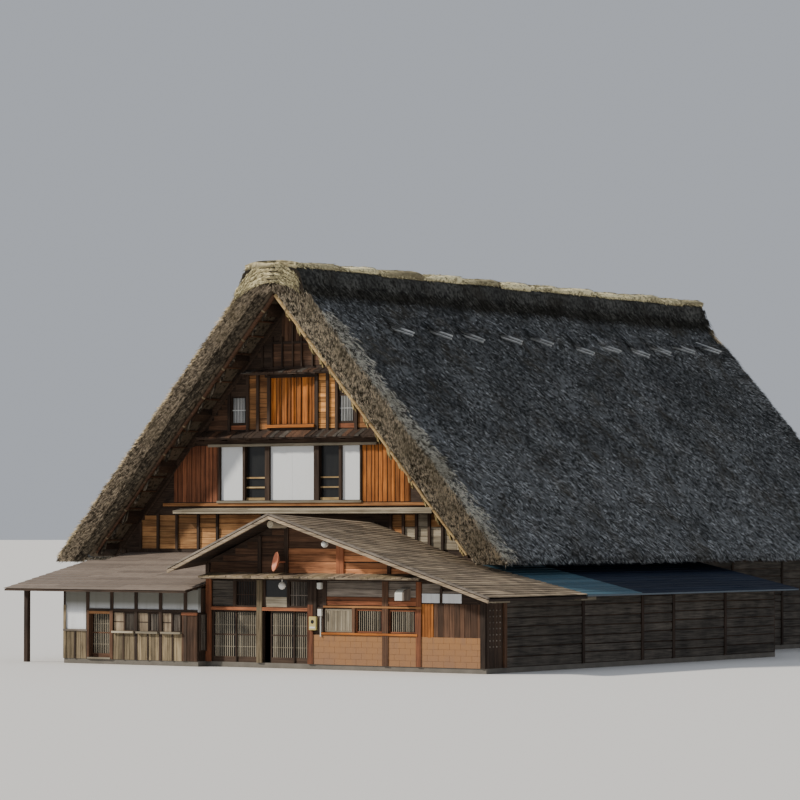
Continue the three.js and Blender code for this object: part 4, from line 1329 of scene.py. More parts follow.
def barge_pole(side, back):
    """A round pole along the lower edge of a verge, lashed at the purlins."""
    shape = Shape()
    y = LENGTH + BARGE_OUT if back else -BARGE_OUT
    top = Vector((0.02 * side, y, INNER_APEX - 0.11))
    foot = Vector((7.0 * side, y, inner_roof(7.0) - 0.1))
    finish = "pole x" if side > 0 else "umber x"
    shape.rod(top, foot, 0.07, finish, 10, 0.04, 18, 0.012, f"{back} {side}")
    step = Vector((side * DOWN_SLOPE[0], 0, DOWN_SLOPE[2])) * 0.05
    for i in range(LASHINGS):
        t = 0.06 + i * 0.11
        centre = top.lerp(foot, t)
        shape.rod(centre - step * 0.5, centre + step * 0.5, 0.078 - 0.03 * t, "khaki x", 10)
    name = f"{end_name(back)}_{side_name(side)}"
    shape.make(f"barge_pole_round_{name}", [f"barge_pole_{name}"], slot="straw")


class FARMHOUSE_OT_poles(bpy.types.Operator):
    """Makes the bare poles of the roof and paints its rafters and floors"""

    bl_idname = "farmhouse.poles"
    bl_label = "Poles and rafters"

    def execute(self, context):
        for side in (1, -1):
            needle_poles(side)
            needle_reeds(side)
        for back in (False, True):
            for side in (1, -1):
                barge_pole(side, back)
        paint("smoky x", "rafters_left", "rafters_right", "front_post_row")
        paint("smoky y", "right_post_row")
        paint("grey y", "attic_floor", "upper_floor")
        return {"FINISHED"}


def roof_limit(a):
    """Height of the rafters' underside over a place on the gable."""
    return INNER_APEX - 0.3 - ROOF_TAN * abs(a) - 0.02


def gable_low(wall, shape, rng):
    """Lowest storey: boards between posts, pale ones on the right."""
    limit = under_rafters
    z0, z1, split = 3.42, 4.48, 4.1
    for left, right in ((-5.9, -5.2), (-5.2, -4.45), (-4.45, -3.6), (-3.6, -2.85), (-2.85, -1.2)):
        wall.flat_boards(shape, left, right, z0, z1, "honey x", rng, 0.17, limit=limit)
    wall.flat_boards(shape, -1.2, 3.7, z0, z1, "smoky x", rng, 0.2, limit=limit)
    bays = ((3.7, "amber", "honey"), (4.16, "pale", "honey"), (4.64, "pale", "pale"))
    bays += ((5.1, "pale", "honey"), (5.58, "pale", "pale"), (6.05, "pale", "pale"))
    for left, low, high in bays:
        wall.flat_boards(shape, left, left + 0.48, z0, split, low + " x", rng, 0.2, limit=limit)
        wall.flat_boards(shape, left, left + 0.48, split, z1, high + " x", rng, 0.2, limit=limit)
    for a in (-5.9, -5.2, -4.45, -3.6, -2.85, 3.7, 4.16, 4.64, 5.1, 5.58):
        top = min(4.5, roof_limit(abs(a) + 0.05))
        wall.post(shape, a, 0.09, 3.4, top, 0.075, "smoky z")


def gable_middle(wall, shape, rng):
    """Storey of the paper screens, with upright boards at both sides."""
    limit = roof_limit
    wall.upright_boards(shape, -4.6, -2.83, 4.86, 6.6, "red z", rng, 0.17, limit=limit, gap=0.03)
    wall.upright_boards(shape, 2.62, 4.4, 4.86, 6.6, "hatch z", rng, 0.16, limit=limit, gap=0.035)
    for a, wide in ((-2.79, 0.07), (-1.83, 0.09), (-0.93, 0.17), (0.94, 0.19), (1.83, 0.09), (2.59, 0.06)):
        wall.post(shape, a, wide, 4.78, 6.66, 0.05, "smoky z")
    half = under_rafters(6.78)
    wall.block(shape, -3.2, 3.2, 6.56, 6.64, 0.0, 0.09, "pale x")
    wall.block(shape, -half, half, 6.66, 6.78, 0.0, 0.05, "smoky x")
    wall.block(shape, -2.85, 2.65, 4.83, 4.9, 0.0, 0.1, "pale x")
    wall.block(shape, -5.0, 5.0, 4.74, 4.83, 0.0, 0.06, "amber x")


def gable_high(wall, shape, rng):
    """Storey of the hatch and the two lattice windows."""
    limit = under_rafters
    z0, z1 = 7.08, 8.76
    spans = (
        (-3.2, -2.4, "umber x"),
        (-1.68, -1.29, "amber x"),
        (-1.29, -0.87, "amber x"),
        (0.96, 1.36, "golden x"),
        (1.36, 1.7, "golden x"),
        (2.42, 3.2, "amber x"),
    )
    for left, right, finish in spans:
        wall.flat_boards(shape, left, right, z0, z1, finish, rng, 0.16, limit=limit)
    for left, right in ((-2.4, -1.68), (1.7, 2.42)):
        wall.flat_boards(shape, left, right, z0, 7.24, "red x", rng, 0.16, limit=limit)
        wall.flat_boards(shape, left, right, 8.12, z1, "smoky x", rng, 0.16, limit=limit)
    for a in (-2.4, -1.68, -1.29, -0.87, 0.96, 1.36, 1.7, 2.42):
        top = min(z1, roof_limit(abs(a) + 0.05))
        wall.post(shape, a, 0.1, 7.0, top, 0.07, "smoky z")
    wall.block(shape, -0.95, 0.9, 7.12, 7.21, 0.0, 0.13, "hatch x")
    wall.block(shape, -1.0, 1.0, 8.66, z1, 0.0, 0.08, "smoky x")
    half = under_rafters(8.8)
    wall.block(shape, -half, half, 8.74, 8.82, 0.0, 0.05, "smoky x")


def gable_top(wall, shape, rng):
    """Boards and battens under the apex."""
    limit = under_rafters
    wall.flat_boards(shape, -0.74, 1.4, 9.0, 9.68, "umber x", rng, 0.15, 0.016, limit=limit)
    wall.flat_boards(shape, -1.5, -0.74, 9.0, 9.68, "smoky x", rng, 0.15, 0.016, limit=limit)
    wall.upright_boards(shape, -0.4, 0.55, 9.76, 10.6, "umber z", rng, 0.14, 0.014, limit=roof_limit)
    wall.block(shape, -1.0, 1.0, 9.68, 9.75, 0.0, 0.05, "smoky x")
    for a in (-1.12, -0.74, -0.36, 0.04, 0.38, 0.79, 1.1):
        top = min(10.45 if a == 0.04 else 9.9, roof_limit(abs(a) + 0.03))
        wall.post(shape, a, 0.05, 8.98, top, 0.06, "smoky z")


def gable_windows(wall, side, rng):
    """Paper screens, dark panes of painted shade, lattices and the plank hatch."""
    shape = Shape()
    low, high = 4.915, 6.555
    for left, right in ((-2.745, -1.885), (-0.835, -0.012), (-0.008, 0.835), (1.885, 2.555)):
        wall.block(shape, left, right, low, high, -0.05, -0.02, "screen paper")
    for left, right in ((-1.775, -1.035), (1.045, 1.775)):
        wall.block(shape, left, right, low, high, -0.1, -0.08, "dark glass and shade")
        for z in (5.28, 5.58):
            wall.block(shape, left, right, z, z + 0.045, -0.06, -0.03, "pole x")
        wall.block(shape, left, right, low, 4.99, -0.08, -0.02, "pole x")
    low, high = 7.255, 8.095
    for left, right in ((-2.345, -1.745), (1.745, 2.345)):
        wall.block(shape, left, right, low, high, -0.1, -0.08, "dark glass and shade")
        wall.lattice(shape, left, right, low, high, 8, (7.68,), "silver", "smoky")
    low, high = 7.234, 8.646
    wall.block(shape, -0.828, 0.828, 7.232, 8.648, -0.12, -0.08, "smoky x")
    wall.upright_boards(shape, -0.826, 0.826, low, high, "hatch z", rng, 0.2, 0.03, base=-0.08, gap=0.04)
    for i in range(7):
        a = -0.8 + i * 1.6 / 6
        wall.block(shape, a - 0.022, a + 0.022, low, high, -0.08, -0.025, "hatch z")
    shape.make(f"{side}_gable_openings", [f"{side}_gable_screens", f"{side}_hatch"], slot="paper")


# Small roofs of a gable: name, top, depth, fall, left and right end.
PENTS = (
    ("pent_lower", 4.69, 0.45, 0.09, -4.3, 5.45),
    ("pent_middle", 7.06, 0.42, 0.2, -3.45, 3.5),
    ("pent_upper", 8.93, 0.33, 0.1, -1.76, 1.72),
)


def shingles(shape, wall, left, right, top, deep, fall, finishes, rng, narrow, wide):
    """Short boards side by side down a small roof, with ragged ends and mixed finishes."""
    a = left
    while a < right - 0.02:
        end = min(a + rng.uniform(narrow, wide), right)
        out = deep - rng.uniform(0.0, 0.05)
        lift = rng.uniform(-0.014, 0.0)
        finish = rng.choice(finishes)
        drops = (0.0, 0.0, fall, fall)
        lows = [top - drop - 0.035 + lift for drop in drops]
        highs = [top - drop + lift for drop in drops]
        wall.prism(shape, four(a + 0.006, end - 0.006, 0.0, out), lows, highs, finish)
        a = end


def long_boards(shape, wall, left, right, top, deep, fall, finish, rng):
    """Long boards lapped down a small roof, with a deep front board."""
    rows = 3
    for row in range(rows):
        near, far = deep * row / rows, deep * (row + 1) / rows
        a = left
        while a < right - 0.02:
            end = min(a + rng.uniform(2.2, 3.6), right)
            if right - end < 0.8:
                end = right
            z0, z1 = top - fall * row / rows - 0.012, top - fall * (row + 1) / rows
            highs = [z0, z0, z1, z1]
            ring = four(a + 0.002, end - 0.002, near, far)
            wall.prism(shape, ring, [z - 0.03 for z in highs], highs, finish)
            a = end


def gable_pent(wall, side, name, top, deep, fall, left, right, rng):
    """A small roof between two storeys, carried on short brackets."""
    shape = Shape()
    lower = name == "pent_lower"
    if lower:
        long_boards(shape, wall, left, right, top, deep, fall, "pale x", rng)
    else:
        finishes = ("smoky y", "smoky y", "shaded_sooty y", "umber y")
        shingles(shape, wall, left, right, top, deep, fall, finishes, rng, 0.1, 0.24)
    edge = top - fall - 0.035
    tall = 0.06 if lower else 0.05
    front = deep - 0.01 if lower else deep - 0.06
    wall.block(shape, left, right, edge - tall, edge, front - 0.035, front, "pale x" if lower else "smoky x")
    for i in range(int((right - left) / 0.9) + 1):
        a = min(left + 0.05 + i * 0.9, right - 0.06)
        wall.block(shape, a - 0.03, a + 0.03, edge - 0.08, edge - 0.02, 0.0, front - 0.035, "smoky y")
    shape.make(f"{side}_{name}_boards", [f"{side}_{name}"], slot="timber")


class FARMHOUSE_OT_gables(bpy.types.Operator):
    """Dresses both gables in boards, posts, screens, hatches and small roofs"""

    bl_idname = "farmhouse.gables"
    bl_label = "Gables"

    def execute(self, context):
        for wall, side in ((FRONT, "front"), (BACK, "back")):
            rng = random.Random(side)
            shape = Shape()
            gable_low(wall, shape, rng)
            gable_middle(wall, shape, rng)
            gable_high(wall, shape, rng)
            gable_top(wall, shape, rng)
            shape.make(f"{side}_gable_boards", slot="timber")
            gable_windows(wall, side, rng)
            for name, top, deep, fall, left, right in PENTS:
                gable_pent(wall, side, name, top, deep, fall, left, right, rng)
            paint("smoky x", f"{side}_gable_wall")
        return {"FINISHED"}


ENTRANCE_RIDGE_X = 3.0
ENTRANCE_VERGE = -5.2


# Lines of the entrance roof at its front verge and at the gable wall: places and heights.
RIGHT_FRONT = ((3.0, 4.5), (6.65, 3.381), (10.6, 2.17))
RIGHT_BACK = ((3.0, 4.25), (6.65, 3.05), (10.6, 2.17))
LEFT_FRONT = ((-0.72, 2.92), (3.0, 4.5))
LEFT_BACK = ((-0.72, 3.45), (3.0, 4.25))


def slope_height(line, x):
    """Height of a roof line at x."""
    for (x0, z0), (x1, z1) in zip(line, line[1:]):
        if x <= x1:
            return z0 + (z1 - z0) * (x - x0) / (x1 - x0)
    return line[-1][1]


def roof_height(front, back, x, y):
    """Height of a roof face that twists between its front and its back line."""
    t = min(max((y - ENTRANCE_VERGE) / -ENTRANCE_VERGE, 0.0), 1.0)
    return slope_height(front, x) * (1 - t) + slope_height(back, x) * t


COURSE_WIDTH = 0.2
COURSE_DEPTH = 0.03


def roof_courses(shape, front, back, eave, ridge, rng):
    """Courses of boards that run back, each lapping the one below it."""
    start, stop = -5.1, -0.005
    lap = COURSE_DEPTH * 0.7
    count = max(1, round(abs(ridge - eave) / COURSE_WIDTH))
    for i in range(count):
        a, b = (eave + (ridge - eave) * k / count for k in (i, i + 1))
        y = start
        while y < stop - 0.02:
            end = min(y + rng.uniform(0.9, 2.4), stop)
            if stop - end < 0.3:
                end = stop
            lift = rng.uniform(0.0, 0.008)
            y0, y1 = y + 0.004, end - 0.004
            ring = []
            for x, where, up in ((a, y0, lap), (a, y1, lap), (b, y1, 0.0), (b, y0, 0.0)):
                ring.append((x, where, roof_height(front, back, x, where) - COURSE_DEPTH + up + lift))
            low, high = ([(x, where, z + step) for x, where, z in ring] for step in (-0.012, 0.016))
            shape.hexa(low, high, "drab y")
            y = end


UNDERLAY_STRIPS = 8


def underlay(shape, front, back):
    """Boards under the courses, in strips that follow the roof's twist."""
    for (x0, _), (x1, _) in zip(front, front[1:]):
        for i in range(UNDERLAY_STRIPS):
            a, b = (x0 + (x1 - x0) * k / UNDERLAY_STRIPS for k in (i, i + 1))
            places = ((a, -5.12, front), (b, -5.12, front), (b, -0.01, back), (a, -0.01, back))
            low = [(x, y, slope_height(line, x) - 0.13) for x, y, line in places]
            shape.slab(low, 0.065, "smoky y")


# Strips of each verge board: front and back face, top under the roof line, depth, finish.
VERGE_STRIPS = (
    (-5.19, -5.1, 0.0, 0.06, "grey x"),
    (-5.15, -5.1, -0.06, 0.025, "smoky x"),
    (-5.18, -5.11, -0.085, 0.09, "drab x"),
)


def entrance_roof():
    """Weathered boards on the entrance roof, its verge boards, ridge log and eave light."""
    rng = random.Random("entrance roof")
    shape = Shape()
    roof_courses(shape, RIGHT_FRONT, RIGHT_BACK, 10.59, 3.02, rng)
    roof_courses(shape, LEFT_FRONT, LEFT_BACK, -0.71, 2.98, rng)
    underlay(shape, RIGHT_FRONT, RIGHT_BACK)
    underlay(shape, LEFT_FRONT, LEFT_BACK)
    shape.make("entrance_roof_boards", ["entrance_roof_right", "entrance_roof_left"], slot="boards")

    trim = Shape()
    for (x0, z0), (x1, z1) in ((RIGHT_FRONT[0], RIGHT_FRONT[2]), (LEFT_FRONT[1], LEFT_FRONT[0])):
        for y0, y1, top, deep, finish in VERGE_STRIPS:
            ring = [(x, y, z + top) for (x, y), z in zip(four(x0, x1, y0, y1), (z0, z1, z1, z0))]
            trim.hexa([(x, y, z - deep) for x, y, z in ring], ring, finish)
    trim.rod((2.92, -4.97, 4.17), (2.92, -4.19, 4.17), 0.11, "pale y", 14)
    trim.make("entrance_verge_boards", slot="boards")

    light = Shape()
    light.rod((4.8, -4.95, 3.61), (4.8, -4.9, 3.61), 0.06, "globe", 14, 0.1)
    light.rod((4.8, -4.9, 3.61), (4.8, -4.8, 3.61), 0.1, "globe", 14, 0.09)
    light.rod((4.8, -4.86, 3.7), (4.8, -4.86, 3.86), 0.02, "casing paint", 8)
    light.make("eave_light", slot="white", smooth=True)


def entrance_gable(wall, shape, rng):
    """Level boards and posts between the small roof and the verges."""

    def limit(a):
        """Height that boards reach under the entrance roof."""
        line = LEFT_FRONT if a < ENTRANCE_RIDGE_X else RIGHT_FRONT
        return slope_height(line, a) - 0.2

    bays = ((0.03, 1.93, "umber x"), (1.93, 2.9, "umber x"), (2.9, 4.75, "sunlit_ruddy x"), (4.75, 9.8, "sunlit_ruddy x"))
    # Boards below sunny_top get the bright planks as painted sunlight; those above get dark umber boards as
    # painted shade under the verge.
    sunny_top = 3.5
    for first, last, sunlit_finish in bays:
        z = 2.72
        while z < 4.3:
            top = z + 0.19
            finish = sunlit_finish if top < sunny_top else "umber x"
            left, right = first, last
            while left < right and limit(left) < top:
                left += 0.05
            while right > left and limit(right) < top:
                right -= 0.05
            if right - left > 0.15:
                wall.flat_boards(shape, left, right, z, top, finish, rng, 0.19, 0.022)
            z = top
    posts = (
        (0.07, 0.14, "smoky z"),
        (1.99, 0.13, "smoky z"),
        (2.96, 0.14, "smoky z"),
        (4.89, 0.26, "red z"),
        (6.61, 0.12, "umber z"),
        (8.1, 0.14, "smoky z"),
    )
    for a, wide, finish in posts:
        top = min(limit(a - wide / 2), limit(a + wide / 2))
        wall.post(shape, a, wide, 2.7, top, 0.06, finish)


def block_wall(wall, shape):
    """Rough blocks laid in courses on the face of the entrance's low wall."""
    left, right, top = 3.93, 9.72, 1.0
    wall.block(shape, left, right, FLOOR_TOP, top, 0.0, 0.012, "foot stone")
    row = 0
    z = FLOOR_TOP
    while z < top - 0.01:
        a = left - (row % 2) * 0.19
        while a < right:
            start, end = max(a, left), min(a + 0.374, right)
            if end - start > 0.03:
                wall.block(shape, start, end, z, min(z + 0.165, top), 0.012, 0.03, "rough coat")
            a += 0.38
        z += 0.17
        row += 1


def entrance_front():
    """Boards, posts, rails and panels of the entrance wall."""
    rng = random.Random("entrance front")
    wall = ENTRANCE
    shape = Shape()
    entrance_gable(wall, shape, rng)
    posts = (
        (0.1, 0.19, FLOOR_TOP, 2.66, "red z"),
        (1.98, 0.19, FLOOR_TOP, 2.62, "khaki z"),
        (3.83, 0.19, FLOOR_TOP, 1.86, "red z"),
        (3.83, 0.19, 1.86, 2.62, "smoky z"),
        (4.0, 0.11, 1.12, 2.6, "smoky z"),
        (4.33, 0.14, 1.8, 2.6, "smoky z"),
        (4.2, 0.2, 1.08, 1.8, "smoky z"),
        (5.365, 0.1, 1.06, 1.78, "umber z"),
        (6.475, 0.2, FLOOR_TOP, 2.6, "umber z"),
        (7.63, 0.17, FLOOR_TOP, 2.6, "red z"),
    )
    for a, wide, low, high, finish in posts:
        wall.post(shape, a, wide, low, high, 0.055, finish)
    wall.block(shape, 9.73, 9.89, FLOOR_TOP, 2.1, 0.0, 0.05, "smoky z")
    wall.block(shape, 0.2, 3.73, 1.665, 1.76, 0.0, 0.05, "red x")
    wall.block(shape, 0.2, 8.4, 2.55, 2.64, 0.0, 0.06, "smoky x")
    wall.flat_boards(shape, 4.4, 7.54, 2.1, 2.55, "grey x", rng, 0.22)
    wall.flat_boards(shape, 4.4, 7.54, 1.86, 2.1, "red x", rng, 0.12, 0.03)
    wall.block(shape, 4.3, 7.72, 1.785, 1.84, 0.0, 0.06, "amber x")
    wall.block(shape, 4.2, 7.6, 1.01, 1.07, 0.0, 0.07, "hatch x")
    block_wall(wall, shape)
    wall.flat_boards(shape, 3.93, 4.3, 1.05, 1.76, "smoky x", rng, 0.2)
    wall.upright_boards(shape, 7.72, 8.13, 0.98, 1.93, "hatch z", rng, 0.1, 0.04)
    wall.upright_boards(shape, 8.13, 9.72, 0.98, 1.93, "umber z", rng, 0.18, 0.02)
    wall.block(shape, 7.74, 8.36, 1.96, 2.22, 0.0, 0.03, "lime plaster")
    wall.block(shape, 7.74, 8.36, 2.23, 2.5, 0.0, 0.025, "grey x")
    wall.block(shape, 8.44, 9.08, 1.96, 2.22, 0.0, 0.03, "lime plaster")
    wall.block(shape, 8.44, 9.08, 2.23, 2.3, 0.0, 0.025, "grey x")
    wall.block(shape, 8.36, 8.44, 1.93, 2.36, 0.0, 0.05, "smoky z")
    shape.make("entrance_front_boards", slot="timber")


def entrance_windows():
    """Transom panels over the doors and lattices in the window wall."""
    rng = random.Random("entrance windows")
    wall = ENTRANCE
    shape = Shape()
    low, high = 1.775, 2.55
    wall.flat_boards(shape, 0.205, 0.98, low, high, "shaded_sooty x", rng, 0.24, 0.03, base=-0.06)
    wall.block(shape, 0.98, 1.05, low, high, -0.06, 0.0, "smoky z")
    # The dark panes behind these lattices are painted shade.
    wall.block(shape, 1.05, 1.875, low, high, -0.1, -0.08, "dark glass and shade")
    wall.lattice(shape, 1.05, 1.875, low, high, 11, (2.12,), "smoky", "smoky", -0.02)
    wall.block(shape, 2.085, 2.16, low, high, -0.06, -0.01, "smoky z")
    # The transom's upper part is a dark pane of painted shade under the small roof.
    wall.block(shape, 2.16, 2.95, 2.06, high, -0.07, -0.04, "dark glass and shade")
    wall.block(shape, 2.16, 2.95, low, 2.06, -0.07, -0.03, "pale x")
    wall.block(shape, 2.95, 3.02, low, high, -0.06, 0.0, "smoky z")
    wall.block(shape, 3.02, 3.725, low, high, -0.1, -0.08, "dark glass and shade")
    wall.lattice(shape, 3.02, 3.725, low, high, 10, (2.12,), "grey", "smoky", -0.02)
    low, high = 1.085, 1.745
    # Paper of painted shade behind the lattice.
    wall.block(shape, 4.325, 5.305, low, high, -0.1, -0.06, "shaded paper")
    wall.lattice(shape, 4.325, 5.305, low, high, 38, (1.46,), "pale", "pale", -0.01)
    for left, right in ((5.425, 6.365), (6.585, 7.515)):
        wall.block(shape, left, right, low, high, -0.11, -0.09, "dark glass and shade")
        wall.lattice(shape, left, right, low, high, 11, (), "pale", "red", -0.01)
    shape.make("entrance_windows", ["entrance_screens"], slot="paper")


def entrance_pent():
    """Mossy planks of the small roof over the doors."""
    rng = random.Random("entrance pent")
    shape = Shape()
    left, right = 0.2, 8.05
    shingles(shape, ENTRANCE, left, right, 2.78, 0.7, 0.1, ("khaki y", "drab y"), rng, 0.14, 0.3)
    ENTRANCE.block(shape, left, right, 2.6, 2.645, 0.62, 0.66, "drab x")
    for i in range(9):
        a = left + 0.1 + i * 0.95
        ENTRANCE.block(shape, a - 0.035, a + 0.035, 2.58, 2.63, 0.0, 0.62, "smoky y")
    shape.make("entrance_pent_boards", ["entrance_pent"], slot="boards")


class FARMHOUSE_OT_entrance(bpy.types.Operator):
    """Dresses the entrance: its board roof, front wall, windows and small roof"""

    bl_idname = "farmhouse.entrance"
    bl_label = "Entrance"

    def execute(self, context):
        entrance_roof()
        entrance_front()
        entrance_windows()
        entrance_pent()
        paint("smoky x", "entrance_upper_wall", "entrance_window_wall")
        paint("smoky z", "entrance_post", "entrance_corner_post")
        paint("smoky y", "entrance_side_wall")
        paint("foot stone", "ground_floor")
        return {"FINISHED"}


DOORS = ("door_leaf_1", "door_leaf_2", "door_leaf_3", "door_leaf_4", "wing_door")


def door_leaf(node):
    """A lattice leaf: dark frame, thin bars and a dim pane of painted shade behind them."""
    low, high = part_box(node)
    wall = Wall((0, low.y), (1, 0), (0, -1))
    wing = node == "wing_door"
    wood = "umber" if wing else "smoky"
    shape = Shape()
    z0, z1 = low.z + 0.001, high.z - 0.001
    a0, a1 = low.x + 0.001, high.x - 0.001
    stile, rail, sill = 0.045, 0.05, 0.16
    back, face = -0.029, -0.001
    for left, right in ((a0, a0 + stile), (a1 - stile, a1)):
        wall.block(shape, left, right, z0, z1, back, face, wood + " z")
    middle = (z0 + z1) / 2 + 0.05
    left, right = a0 + stile, a1 - stile
    for bottom, top in ((z0, z0 + sill), (middle - 0.02, middle + 0.02), (z1 - rail, z1)):
        wall.block(shape, left, right, bottom, top, back, face, wood + " x")
    bars, bar = 10, 0.022
    step = (a1 - a0 - 2 * stile) / (bars + 1)
    for i in range(bars):
        a = left + step * (i + 1)
        wall.block(shape, a - bar / 2, a + bar / 2, z0 + sill, z1 - rail, -0.016, -0.003, "pale z")
    for share in (0.3, 0.72):
        z = z0 + (z1 - z0) * share
        wall.block(shape, left, right, z - 0.008, z + 0.008, -0.02, -0.012, "pale x")
    wall.block(shape, left, right, z0 + sill, z1 - rail, -0.028, -0.024, "dark glass and shade")
    shape.make(f"{node}_lattice", [node], body=node, slot="timber" if wing else "darkTimber")


class FARMHOUSE_OT_doors(bpy.types.Operator):
    """Makes the sliding lattice doors"""

    bl_idname = "farmhouse.doors"
    bl_label = "Sliding doors"

    def execute(self, context):
        for node in DOORS:
            door_leaf(node)
        return {"FINISHED"}


WING_BAY = 0.935


def wing_front():
    """Posts, rails, boards, screens and lattices of the wing's front."""
    rng = random.Random("wing front")
    wall = WING
    shape = Shape()
    posts = [WING_LEFT + WING_BAY * i for i in range(6)]
    for i, a in enumerate(posts):
        left = max(a - 0.05, WING_LEFT)
        wall.block(shape, left, a + 0.06, FLOOR_TOP, 2.3, 0.0, 0.03, "smoky z")
        if i == 0:
            wall.block(shape, left, a + 0.1, FLOOR_TOP, 1.75, 0.03, 0.04, "khaki z")
    wall.block(shape, posts[1], -0.02, 1.58, 1.66, 0.0, 0.035, "smoky x")
    wall.block(shape, WING_LEFT, -0.02, 2.25, 2.33, 0.0, 0.03, "smoky x")
    wall.upright_boards(shape, posts[0] + 0.06, posts[1] - 0.05, FLOOR_TOP, 0.98, "khaki z", rng, 0.2, 0.02)
    wall.block(shape, posts[0] + 0.42, posts[0] + 0.48, FLOOR_TOP, 1.0, 0.0, 0.04, "smoky z")
    wall.block(shape, posts[0], posts[1], 0.97, 1.03, 0.0, 0.05, "grey x")
    for i in (2, 3, 4):
        left, right = posts[i] + 0.06, (posts[i + 1] - 0.05 if i < 4 else -0.6)
        wall.upright_boards(shape, left, right, FLOOR_TOP, 0.95, "khaki z", rng, 0.2, 0.02)
        wall.block(shape, left, right, 0.94, 1.0, 0.0, 0.11, "pale x")
        wall.block(shape, left + 0.38, left + 0.43, FLOOR_TOP, 0.94, 0.0, 0.04, "smoky z")
    wall.upright_boards(shape, -0.6, -0.02, FLOOR_TOP, 1.56, "umber z", rng, 0.14, 0.03)
    wall.block(shape, -0.6, -0.02, 1.5, 1.58, 0.0, 0.045, "red x")
    wall.block(shape, -4.21, -4.15, FLOOR_TOP, 1.6, 0.0, 0.04, "umber z")
    wall.block(shape, -3.34, -3.22, FLOOR_TOP, 1.6, 0.0, 0.04, "umber z")
    wall.block(shape, -4.15, -4.125, FLOOR_TOP, 1.59, -0.12, 0.0, "umber z")
    wall.block(shape, -4.15, -3.34, 1.5, 1.59, -0.02, 0.03, "amber x")
    wall.block(shape, -4.2, -3.3, FLOOR_TOP, FLOOR_TOP + 0.05, 0.0, 0.06, "pale x")
    WING_RETURN.upright_boards(shape, -4.48, -4.21, 1.58, 2.3, "smoky z", rng, 0.14, 0.1, base=-0.1)
    # A dark pane of painted shade behind the return's lattice.
    WING_RETURN.block(shape, -4.56, -4.26, 0.5, 1.5, 0.002, 0.012, "dark glass and shade")
    WING_RETURN.lattice(shape, -4.57, -4.25, 0.45, 1.55, 4, (1.0,), "grey", "smoky", 0.045, 0.03)
    shape.make("wing_front_timbers", slot="timber")

    windows = Shape()
    low, high = 1.005, 1.545
    for i in (2, 3, 4):
        left = posts[i] + 0.065
        right = posts[i + 1] - 0.065 if i < 4 else -0.66
        middle = left + (right - left) * 0.47
        wall.block(windows, left, middle, low, high, -0.06, -0.02, "drab z")
        wall.block(windows, left, middle, 1.26, 1.285, -0.02, -0.012, "smoky x")
        wall.block(windows, middle, middle + 0.05, low, high, -0.06, 0.0, "smoky z")
        # Paper of painted shade behind the lattice.
        wall.block(windows, middle + 0.05, right, low, high, -0.09, -0.07, "shaded paper")
        wall.lattice(windows, middle + 0.05, right, low, high, 6, (), "grey", "smoky", -0.02, 0.025)
    windows.make("wing_windows", ["wing_screen"], slot="paper")


def wing_roof_height(y):
    """Height of the wing's roof."""
    return 3.31 + 0.2038 * y


def sheet_course(shape, rng, left, y0, y1):
    """One course of sheets across the wing's roof."""
    x = left
    while x < -0.012:
        end = min(x + rng.uniform(1.6, 2.6), -0.01)
        if -0.01 - end < 0.5:
            end = -0.01
        lift = rng.uniform(0.0, 0.003)
        z0, z1 = wing_roof_height(y0) + 0.004 + lift, wing_roof_height(y1) - 0.012 + lift
        high = [(x, y0, z0), (end, y0, z0), (end, y1, z1), (x, y1, z1)]
        shape.hexa([(a, b, z - 0.016) for a, b, z in high], high, "brown sheet")
        x = end


def wing_roof():
    """Courses of brown sheet on the wing's roof, which is narrower behind a step in its edge."""
    rng = random.Random("wing roof")
    shape = Shape()
    front, step_y = -5.2, -1.152
    wide, narrow = -7.04, -6.39
    count = round(-front / look("sheet").lap)
    for i in range(count):
        y0, y1 = front - front * i / count, min(front - front * (i + 1) / count + 0.02, -0.002)
        if y0 < step_y < y1:
            sheet_course(shape, rng, wide, y0, step_y)
            sheet_course(shape, rng, narrow, step_y, y1)
        else:
            sheet_course(shape, rng, wide if y0 < step_y else narrow, y0, y1)
    for x0, x1, y0, y1 in ((-7.03, -0.02, -5.18, -1.2), (-6.38, -0.02, -1.2, -0.01)):
        low = [(x, y, wing_roof_height(y) - 0.088) for x, y in four(x0, x1, y0, y1)]
        shape.slab(low, 0.055, "smoky x")
    shape.make("wing_roof_sheets", ["wing_roof"], slot="brownSheet")


class FARMHOUSE_OT_wing(bpy.types.Operator):
    """Dresses the plastered wing and its sheet roof"""

    bl_idname = "farmhouse.wing"
    bl_label = "Wing"

    def execute(self, context):
        wing_front()
        wing_roof()
        paint("lime plaster", "wing_wall_left", "wing_side_wall")
        paint("eave plaster", "wing_upper_wall")
        paint("smoky z", "wing_wall_right")
        paint("smoky z", "wing_roof_post")
        return {"FINISHED"}


AISLE_COURSES = 14


